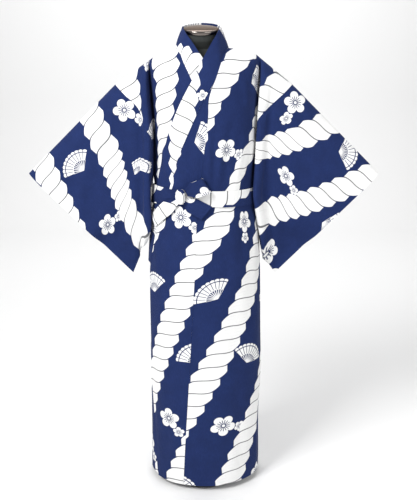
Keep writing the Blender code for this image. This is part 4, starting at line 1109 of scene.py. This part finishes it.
def make_collar(material):
    """Folded band sewn along both fronts and round the neck, a little fuller in the middle of its
    width. Its two halves meet at the back of the neck, each cut from its own place of the printed
    bolt."""
    right, left = collar_stations(-1), collar_stations(1)
    left[0] = right[0] = (left[0] + right[0]) * 0.5
    grid = np.vstack([right[::-1], left[1:]])
    gap = grid[:, 1] - grid[:, 0]
    grid[:, 0] += gap / np.linalg.norm(gap, axis=-1, keepdims=True) * SEAM_GAP * 1.5
    run = arc_length(grid, 0)[:, 2:3]
    lying = 1 - ramp(1.255, 1.325, grid[..., 2])
    grid = with_extras(grid, joined(np.linspace(0, COLLAR_WIDTH, 5), run), lying)
    grid = fine(grid, COLLAR_STEP, COLLAR_STEP * 0.8)
    points = lifted(grid[..., :3], np.clip(grid[..., 5], 0, 1))
    spot = (-40, points.shape[1] // 2)
    normal = facing(points)
    normal = normal * np.where(np.dot(normal[spot], FRONT) < 0, -1.0, 1.0)
    share = np.linspace(0, 1, points.shape[1])[None, :, None]
    along = grid[..., 4:5]
    fullness = 0.0009 + 0.0004 * (np.sin(60 * along) * np.sin(23 * along + 5 * share))
    points = points + normal * np.sin(np.pi * share) * fullness
    cut = grid[..., 3:5] + (along < run[len(right) - 1]) * COLLAR_PARTS
    return cloth("collar", points, cut, spot, BAND, material, "first last", way=FRONT)


def make_belt_band(material):
    """The belt's stretch round the waist: it follows the body a stand-off away, narrows at the knot,
    and has long shallow creases that fan out from there."""
    turn = np.linspace(4.0, 356.0, 300)[:, None]
    share = np.linspace(-0.5, 0.5, 15)[None, :]
    angle = (KNOT_ANGLE - turn + 180.0) % 360.0 - 180.0
    width, lift = read(BELT_SHAPE, "width", turn), read(BELT_SHAPE, "lift", turn)
    rise = read(BELT_STAND, "rise", angle) + BELT_WALL + 0.0004 * (1 - 4 * share * share)
    points = lifted(body_point(angle + 0 * share, BELT_HEIGHT + lift + width * share, rise), 0.8)
    near = np.exp(-(np.minimum(turn, 360 - turn) / 34.0) ** 2)
    fold = np.cos(2 * np.pi * (1.6 * share + 0.15)) * near * 0.0010
    soft = 0.0004 * np.sin(np.radians(turn) * 7 + 6 * share) * np.sin(np.radians(turn) * 3 + 1)
    way = points[..., :2] / np.linalg.norm(points[..., :2], axis=-1, keepdims=True)
    points[..., :2] += way * np.maximum(fold + soft, -0.0004)[..., None]
    cut = joined(width * share, np.radians(turn) * BELT_RADIUS)
    return cloth("belt_band", points, cut, (20, 7), BELT_WALL, material, "first last")


def make_belt_end(name, material, start, end, width, near, far):
    """Free end of the belt: a strip between two places given as angle and height, from under the knot,
    where two pleats gather it, and lying on the robe, near at its start and far at its end."""
    share = np.linspace(0, 1, 60)[:, None]
    across = np.linspace(-0.5, 0.5, 23)[None, :]
    round_way, down_way = end[0] - start[0], end[1] - start[1]
    rise = near + (far - near) * ramp(0.45, 1.0, share)
    run = np.hypot(round_way * BELT_DEGREE, down_way)
    wide = width * (0.48 + 0.52 * ramp(0.0, 0.40, share))
    wave = 0.0022 * np.sin(np.pi * (across + 0.5)) * ramp(0.05, 0.5, share)
    pleat = 0.0011 * np.cos(2 * np.pi * (1.9 * across + 0.2)) * ramp(0.75, 0.10, share)
    curl = 0.0012 * ramp(0.80, 1.0, share) * (2 * np.abs(across)) ** 2
    angle = start[0] + round_way * share - down_way / run / BELT_DEGREE * wide * across
    height = start[1] + down_way * share + round_way * BELT_DEGREE / run * wide * across
    points = body_point(angle, height, rise + BELT_WALL + wave + pleat + curl)
    cut = joined(width * across, run * share)
    return cloth(name, points, cut, (30, 11), BELT_WALL, material, "first last bottom")


def make_belt_loop(material):
    """The bow's loop: the belt doubled back on itself along a stadium-shaped path, open between its
    layers, pinched at the knot and with creases that fade away from it."""
    turn = np.linspace(0, 2 * np.pi, 97)[:-1][None, :]
    across = np.linspace(-0.5, 0.5, 21)[:, None]
    share = (1 - np.cos(turn)) / 2
    ends = np.sqrt(1 - (1 - np.minimum(share / 0.10, 1)) ** 2)
    ends = ends * np.sqrt(1 - (1 - np.minimum((1 - share) / 0.13, 1)) ** 2)
    swell = 0.0046 + 0.0048 * np.sin(np.pi * np.minimum(share / 1.3, 1)) ** 0.7
    side = np.where(turn <= np.pi, 1.0, -1.0)
    fold = 0.0009 * np.cos(2 * np.pi * (1.7 * across + 0.1)) * ramp(0.75, 0.05, share)
    fold = fold * ends * (side > 0)
    wide = LOOP_WIDTH * (0.46 + 0.54 * ramp(0.0, 0.45, share))
    level, upward = LOOP_WAY
    angle = LOOP_START[0] + (share * LOOP_LENGTH * level - wide * across * upward) / BELT_DEGREE
    height = LOOP_START[1] + share * LOOP_LENGTH * upward + wide * across * level
    points = body_point(angle, height, LOOP_RISE + swell + side * swell * ends + fold)
    run = running(points[10])
    cut = joined(LOOP_WIDTH * across, np.minimum(run, run[-1] * 2 - run))
    return cloth("belt_loop", points, cut, (10, 24), BELT_WALL, material, "top bottom", True, FRONT)


def closed(name, rings, cut, material):
    """Closed solid through rings of points, from the lowest up, each end closed by a fan."""
    rows, columns = rings.shape[:2]
    points = np.vstack([rings.reshape(-1, 3), rings[0].mean(axis=0), rings[-1].mean(axis=0)])
    index = np.arange(rows * columns).reshape(rows, columns)
    index = np.column_stack([index, index[:, 0]])
    low = joined(rows * columns, index[0, 1:], index[0, :-1])
    high = joined(rows * columns + 1, index[-1, :-1], index[-1, 1:])
    faces = quads(index)[:, UNTURNED].tolist() + low.tolist() + high.tolist()
    flat = np.vstack([cut.reshape(-1, 2), cut[0].mean(axis=0), cut[-1].mean(axis=0)])
    return mesh_piece(name, points, faces, material, {"cut": flat, "stitch": flat * 0 + 1.0})


def softened(value):
    """Cosine or sine drawn towards 1 and -1 by a power, which makes a circle a soft square."""
    return np.sign(value) * np.abs(value) ** 0.70


def make_belt_knot(material):
    """The knot: a rounded block whose section is a soft square, with three slanting creases where the
    belt goes round it."""
    half = np.array([0.0150, 0.0088, 0.0225])
    up = np.linspace(-np.pi / 2, np.pi / 2, 62)[1:-1]
    level, turn = np.meshgrid(up, np.linspace(0, 2 * np.pi, 97)[:-1], indexing="ij")
    girth = softened(np.cos(level))
    shape = joined(softened(np.cos(turn)) * girth, softened(np.sin(turn)) * girth,
                   softened(np.sin(level)))
    place = level + 0.34 * np.cos(turn)
    crease = np.ones_like(level)
    for middle, depth, width in ((0.46, 0.10, 0.10), (-0.10, 0.05, 0.07), (-0.58, 0.10, 0.11)):
        crease = crease - depth * np.exp(-((place - middle) / width) ** 2)
    local = shape * crease[..., None] * half
    foot, ahead = (body_point(KNOT_ANGLE + more, KNOT_HEIGHT, KNOT_RISE) for more in (0.0, 2.0))
    across = (ahead - foot) / np.linalg.norm(ahead - foot)
    outward = np.array([across[1], -across[0], 0.0])
    upward = np.array([0.0, 0.0, 1.0])
    rings = (foot + outward * half[1] + local[..., :1] * across
             - local[..., 1:2] * outward + local[..., 2:] * upward)
    cut = joined(level * half[2], turn * half[0]) + np.array(PRINT_SHIFT["belt_knot"])
    return closed("belt_knot_cloth", rings, cut, material)


def make_torso(material):
    """Torso, shoulders and neck: an ellipse at each height, whose middle and halves come from a
    table."""
    torso, neck = np.linspace(0.712, 1.30, 60), np.linspace(1.304, 1.420, 44)
    height = np.concatenate([FORM["height"][:2], torso, neck])
    turn = np.linspace(0, 2 * np.pi, 129)[:-1]
    middle = [read_straight(FORM, name, height)[:, None] for name in list(FORM)[1:]]
    centre, forward, half, depth = middle
    y = -forward + depth * np.sin(turn)
    rings = joined(centre + half * np.cos(turn), y, height[:, None])
    rings[-1, :, 2] += (y[-1] + forward[-1]) * np.tan(np.radians(CAP_TILT))
    return closed("form_torso_skin", rings, joined(turn * 0.13, rings[..., 2]), material)


def make_turned(name, profile, material, centre=(0.0, 0.0, 0.0), tilt=0.0, count=128):
    """Solid of revolution from a profile of radius and height, tilted forward about X."""
    profile = np.array(profile)
    turn = np.linspace(0, 2 * np.pi, count + 1)[:-1]
    y, z = profile[:, :1] * np.sin(turn), profile[:, 1:]
    lean = np.radians(tilt)
    rings = joined(profile[:, :1] * np.cos(turn), y * np.cos(lean) - z * np.sin(lean),
                   y * np.sin(lean) + z * np.cos(lean))
    cut = joined(turn * 0.05, running(profile)[:, None])
    return closed(name, rings + np.array(centre), cut, material)


def quarter(radius, height, size, start, end, count=8):
    """Round of a profile's corner: a circle's arc about a point, from one angle to another in
    degrees."""
    turn = np.radians(np.linspace(start, end, count))
    return [(radius + size * np.cos(a), height + size * np.sin(a)) for a in turn]


# Settings, buttons and panel

def length(name, description, default):
    """Setting for a length."""
    return bpy.props.FloatProperty(name=name, description=description, default=default, unit="LENGTH")


def colour(name, description, *default):
    """Setting for a colour."""
    return bpy.props.FloatVectorProperty(
        name=name, description=description, subtype="COLOR", size=3, default=default)


class RobeSettings(bpy.types.PropertyGroup):
    """Sizes and colours of the printed cloth."""

    rope_width: length("Rope width", "Width of a printed rope", 0.082)
    rope_spacing: length("Rope spacing", "Distance between two ropes' middles", 0.200)
    rope_slant: bpy.props.FloatProperty(
        name="Rope slant", description="Slant of the ropes from the cloth's length",
        default=float(np.radians(20.5)), unit="ROTATION")
    strand_pitch: length("Strand pitch", "Length of rope that one strand takes", 0.046)
    motif_spacing: length("Motif spacing", "Distance between two motifs of one row", 0.235)
    navy: colour("Navy", "Ground colour of the cotton", 0.0125, 0.0265, 0.1080)
    white: colour("White", "Undyed colour of the cotton", 0.84, 0.84, 0.835)
    strand_line: colour(
        "Strand line", "Colour of the lines between a rope's strands", 0.040, 0.044, 0.050)


class StandSettings(bpy.types.PropertyGroup):
    """Finishes of the form's metal, and the stage's light."""

    steel: colour("Steel", "Colour of the cap and pole", 0.215, 0.190, 0.175)
    iron: colour("Iron", "Colour of the painted base", 0.020, 0.020, 0.022)
    floor: colour("Floor", "Colour of the floor and backdrop", 0.84, 0.84, 0.84)
    light: bpy.props.FloatProperty(
        name="Light", description="Strength of all the lamps together", default=1.0, min=0.0)


def settle(thing, slot, *sheet, **more):
    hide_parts(thing.name.rsplit("_", 1)[0])


class ROBE_OT_panels(bpy.types.Operator):
    """Makes both body panels, in one length over the shoulders, and both overlap panels"""
    bl_idname = "robe.panels"
    bl_label = "Body and overlap panels"

    def execute(self, context):
        look = context.scene.robe
        material = printed_cotton("printed_cotton", look, roughness=0.86, yarn=0.0009, weave=0.6)
        for side in (1, -1):
            body = make_body(side, material)
            settle(body, "cotton", 0.30, 2.72, "hung", ["form_torso_skin"])
            overlap = make_overlap(side, material)
            settle(overlap, "cotton", 0.17, 1.25, "hung", [body.name], area=0.165)
        return {"FINISHED"}


class ROBE_OT_sleeves(bpy.types.Operator):
    """Makes both sleeves, held out from the shoulders"""
    bl_idname = "robe.sleeves"
    bl_label = "Sleeves"

    def execute(self, context):
        for side in (1, -1):
            sleeve = make_sleeve(side, bpy.data.materials["printed_cotton"])
            settle(sleeve, "cotton", 0.39, 0.93, "hung", ["body_" + hand(side) + "_cloth"])
        return {"FINISHED"}


class ROBE_OT_collar(bpy.types.Operator):
    """Makes the folded collar band along both fronts and round the neck"""
    bl_idname = "robe.collar"
    bl_label = "Collar"

    def execute(self, context):
        look = context.scene.robe
        material = printed_cotton("collar_cotton", look, roughness=0.84, yarn=0.0009, weave=0.6)
        collar = make_collar(material)
        settle(collar, "collar_cotton", 0.056, 1.72, "folded", ["body_left_cloth", "body_right_cloth"])
        return {"FINISHED"}


class ROBE_OT_belt(bpy.types.Operator):
    """Makes the belt's stretch round the waist, its knot, its loop and both free ends"""
    bl_idname = "robe.belt"
    bl_label = "Belt and bow"

    def execute(self, context):
        look = context.scene.robe
        material = printed_cotton("belt_cotton", look, roughness=0.84, yarn=0.0010, weave=0.9)
        band, knot, loop = make_belt_band(material), make_belt_knot(material), make_belt_loop(material)
        right = make_belt_end("belt_end_right", material, start=(-27.5, 0.938), end=(-63.0, 0.868),
                              width=0.044, near=0.0100, far=0.0078)
        left = make_belt_end("belt_end_left", material, start=(-19.5, 0.936), end=(3.0, 0.902),
                             width=0.046, near=0.0100, far=0.0100)
        under = ["body_left_cloth", "body_right_cloth"]
        settle(band, "belt_cotton", 0.048, 0.86, "folded", under, with_pieces=[knot])
        settle(knot, "belt_cotton")
        settle(loop, "belt_cotton", 0.044, 0.125, "folded", ["belt_knot_cloth"])
        settle(right, "belt_cotton", 0.042, 0.115, "hung", ["belt_knot_cloth"])
        settle(left, "belt_cotton", 0.042, 0.065, "hung", ["belt_knot_cloth"])
        return {"FINISHED"}


class ROBE_OT_form(bpy.types.Operator):
    """Makes the dress form's torso, the cap on its neck, its pole and its base"""
    bl_idname = "robe.form"
    bl_label = "Dress form"

    def execute(self, context):
        look = context.scene.robe_stand
        settle(make_torso(jersey("form_jersey")), "jersey")
        radius, height = CAP_RADIUS, CAP_THICKNESS
        profile = [(0.004, 0.0), (radius * 0.86, 0.0), *quarter(radius - 0.003, 0.003, 0.003, -90, 0),
                   *quarter(radius - 0.004, height - 0.004, 0.004, 0, 80),
                   (radius * 0.80, height + 0.0015), (radius * 0.60, height + 0.0025),
                   (radius * 0.40, height + 0.0031), (radius * 0.20, height + 0.0035),
                   (0.002, height + 0.0036)]
        lean, lift = np.radians(CAP_TILT), SEAM_GAP * 1.5
        top, middle, forward = (FORM[name][-1] for name in ("height", "centre", "forward"))
        centre = (middle, -forward - lift * np.sin(lean), top + lift * np.cos(lean))
        polished = metal("cap_metal", look.steel, roughness=0.16, grain=60.0, brushed=6.0)
        settle(make_turned("neck_cap_turned", profile, polished, centre, CAP_TILT), "cap_metal")
        foot_top = BASE_THICKNESS + 0.024
        tube = [(POLE_RADIUS, at) for at in (foot_top + SEAM_GAP, 0.36, FORM_BOTTOM - SEAM_GAP)]
        brushed = metal("pole_metal", look.steel, roughness=0.30, grain=90.0, brushed=12.0)
        settle(make_turned("stand_pole_turned", tube, brushed, count=64), "pole_metal")
        foot = [(0.010, 0.0), *quarter(BASE_RADIUS - 0.003, 0.003, 0.003, -90, 0),
                *quarter(BASE_RADIUS - 0.003, BASE_THICKNESS - 0.003, 0.003, 0, 90),
                (0.034, BASE_THICKNESS + 0.0036),
                *quarter(0.031, BASE_THICKNESS + 0.014, 0.009, -90, -180, 6),
                (0.0205, BASE_THICKNESS + 0.023), (0.018, foot_top)]
        settle(make_turned("stand_base_turned", foot, enamel("base_enamel", look.iron)), "base_metal")
        return {"FINISHED"}


class ROBE_OT_stage(bpy.types.Operator):
    """Makes the plain floor and backdrop, the soft lights and the camera"""
    bl_idname = "robe.stage"
    bl_label = "Stage"

    def execute(self, context):
        look, scene = context.scene.robe_stand, context.scene
        across = np.linspace(-8.0, 8.0, 3)
        turn = np.linspace(0, np.pi / 2, 24)
        run = np.concatenate([[-6.0], 4.0 + 1.2 * np.sin(turn), [5.2]])
        rise = np.concatenate([[0.0], 1.2 - 1.2 * np.cos(turn), [7.0]])
        grid = joined(across, run[:, None], rise[:, None])
        faces = quads(np.arange(grid[..., 0].size).reshape(grid.shape[:2]))[:, UNTURNED]
        material, inputs, _ = new_material("paper", 0.9)
        inputs["Base Color"].default_value = shade(look.floor)
        sheet = smooth_mesh("floor_and_backdrop", grid.reshape(-1, 3), faces, material)
        linked("floor_and_backdrop", sheet)
        world = bpy.data.worlds.new("studio")
        world.use_nodes = True
        sky = world.node_tree.nodes["Background"].inputs
        sky[0].default_value = (1.0, 1.0, 1.0, 1.0)
        sky[1].default_value = 0.42 * look.light
        scene.world = world
        for name, place, aim, size, power in LAMPS:
            lamp = bpy.data.lights.new(name, "AREA")
            lamp.size, lamp.energy = size, power * look.light
            x, y, z = np.array(aim) - np.array(place)
            tip = float(np.pi / 2 + np.arctan2(z, np.hypot(x, y)))
            linked(name, lamp, place, (tip, 0.0, float(np.arctan2(-x, y))))
        camera = bpy.data.cameras.new("camera")
        camera.sensor_fit, camera.sensor_width, camera.lens = "HORIZONTAL", 36.0, CAMERA_LENS
        tip = float(np.radians(90 - CAMERA_PITCH))
        scene.camera = linked("camera", camera, CAMERA_PLACE, (tip, 0.0, 0.0))
        scene.view_settings.view_transform = "Standard"
        return {"FINISHED"}


class ROBE_PT_main(bpy.types.Panel):
    """Lists the robe's settings and its buttons"""
    bl_label = "Cotton robe"
    bl_idname = "ROBE_PT_main"
    bl_space_type = "VIEW_3D"
    bl_region_type = "UI"
    bl_category = "Robe"

    def draw(self, context):
        for group in (context.scene.robe, context.scene.robe_stand):
            for name in group.__annotations__:
                self.layout.prop(group, name)
        for step in STEPS:
            self.layout.operator(step.bl_idname)


STEPS = (ROBE_OT_panels, ROBE_OT_sleeves, ROBE_OT_collar, ROBE_OT_belt, ROBE_OT_form, ROBE_OT_stage)
CLASSES = (RobeSettings, StandSettings, *STEPS, ROBE_PT_main)


def register():
    """Add the settings, buttons and panel."""
    for item in CLASSES:
        bpy.utils.register_class(item)
    bpy.types.Scene.robe = bpy.props.PointerProperty(type=RobeSettings)
    bpy.types.Scene.robe_stand = bpy.props.PointerProperty(type=StandSettings)


def unregister():
    """Take them away again."""
    del bpy.types.Scene.robe_stand
    del bpy.types.Scene.robe
    for item in reversed(CLASSES):
        bpy.utils.unregister_class(item)


def main():
    """Make every piece and the stage."""
    register()
    bpy.ops.robe.panels()
    bpy.ops.robe.sleeves()
    bpy.ops.robe.collar()
    bpy.ops.robe.belt()
    bpy.ops.robe.form()
    bpy.ops.robe.stage()


if __name__ == "__main__":
    main()
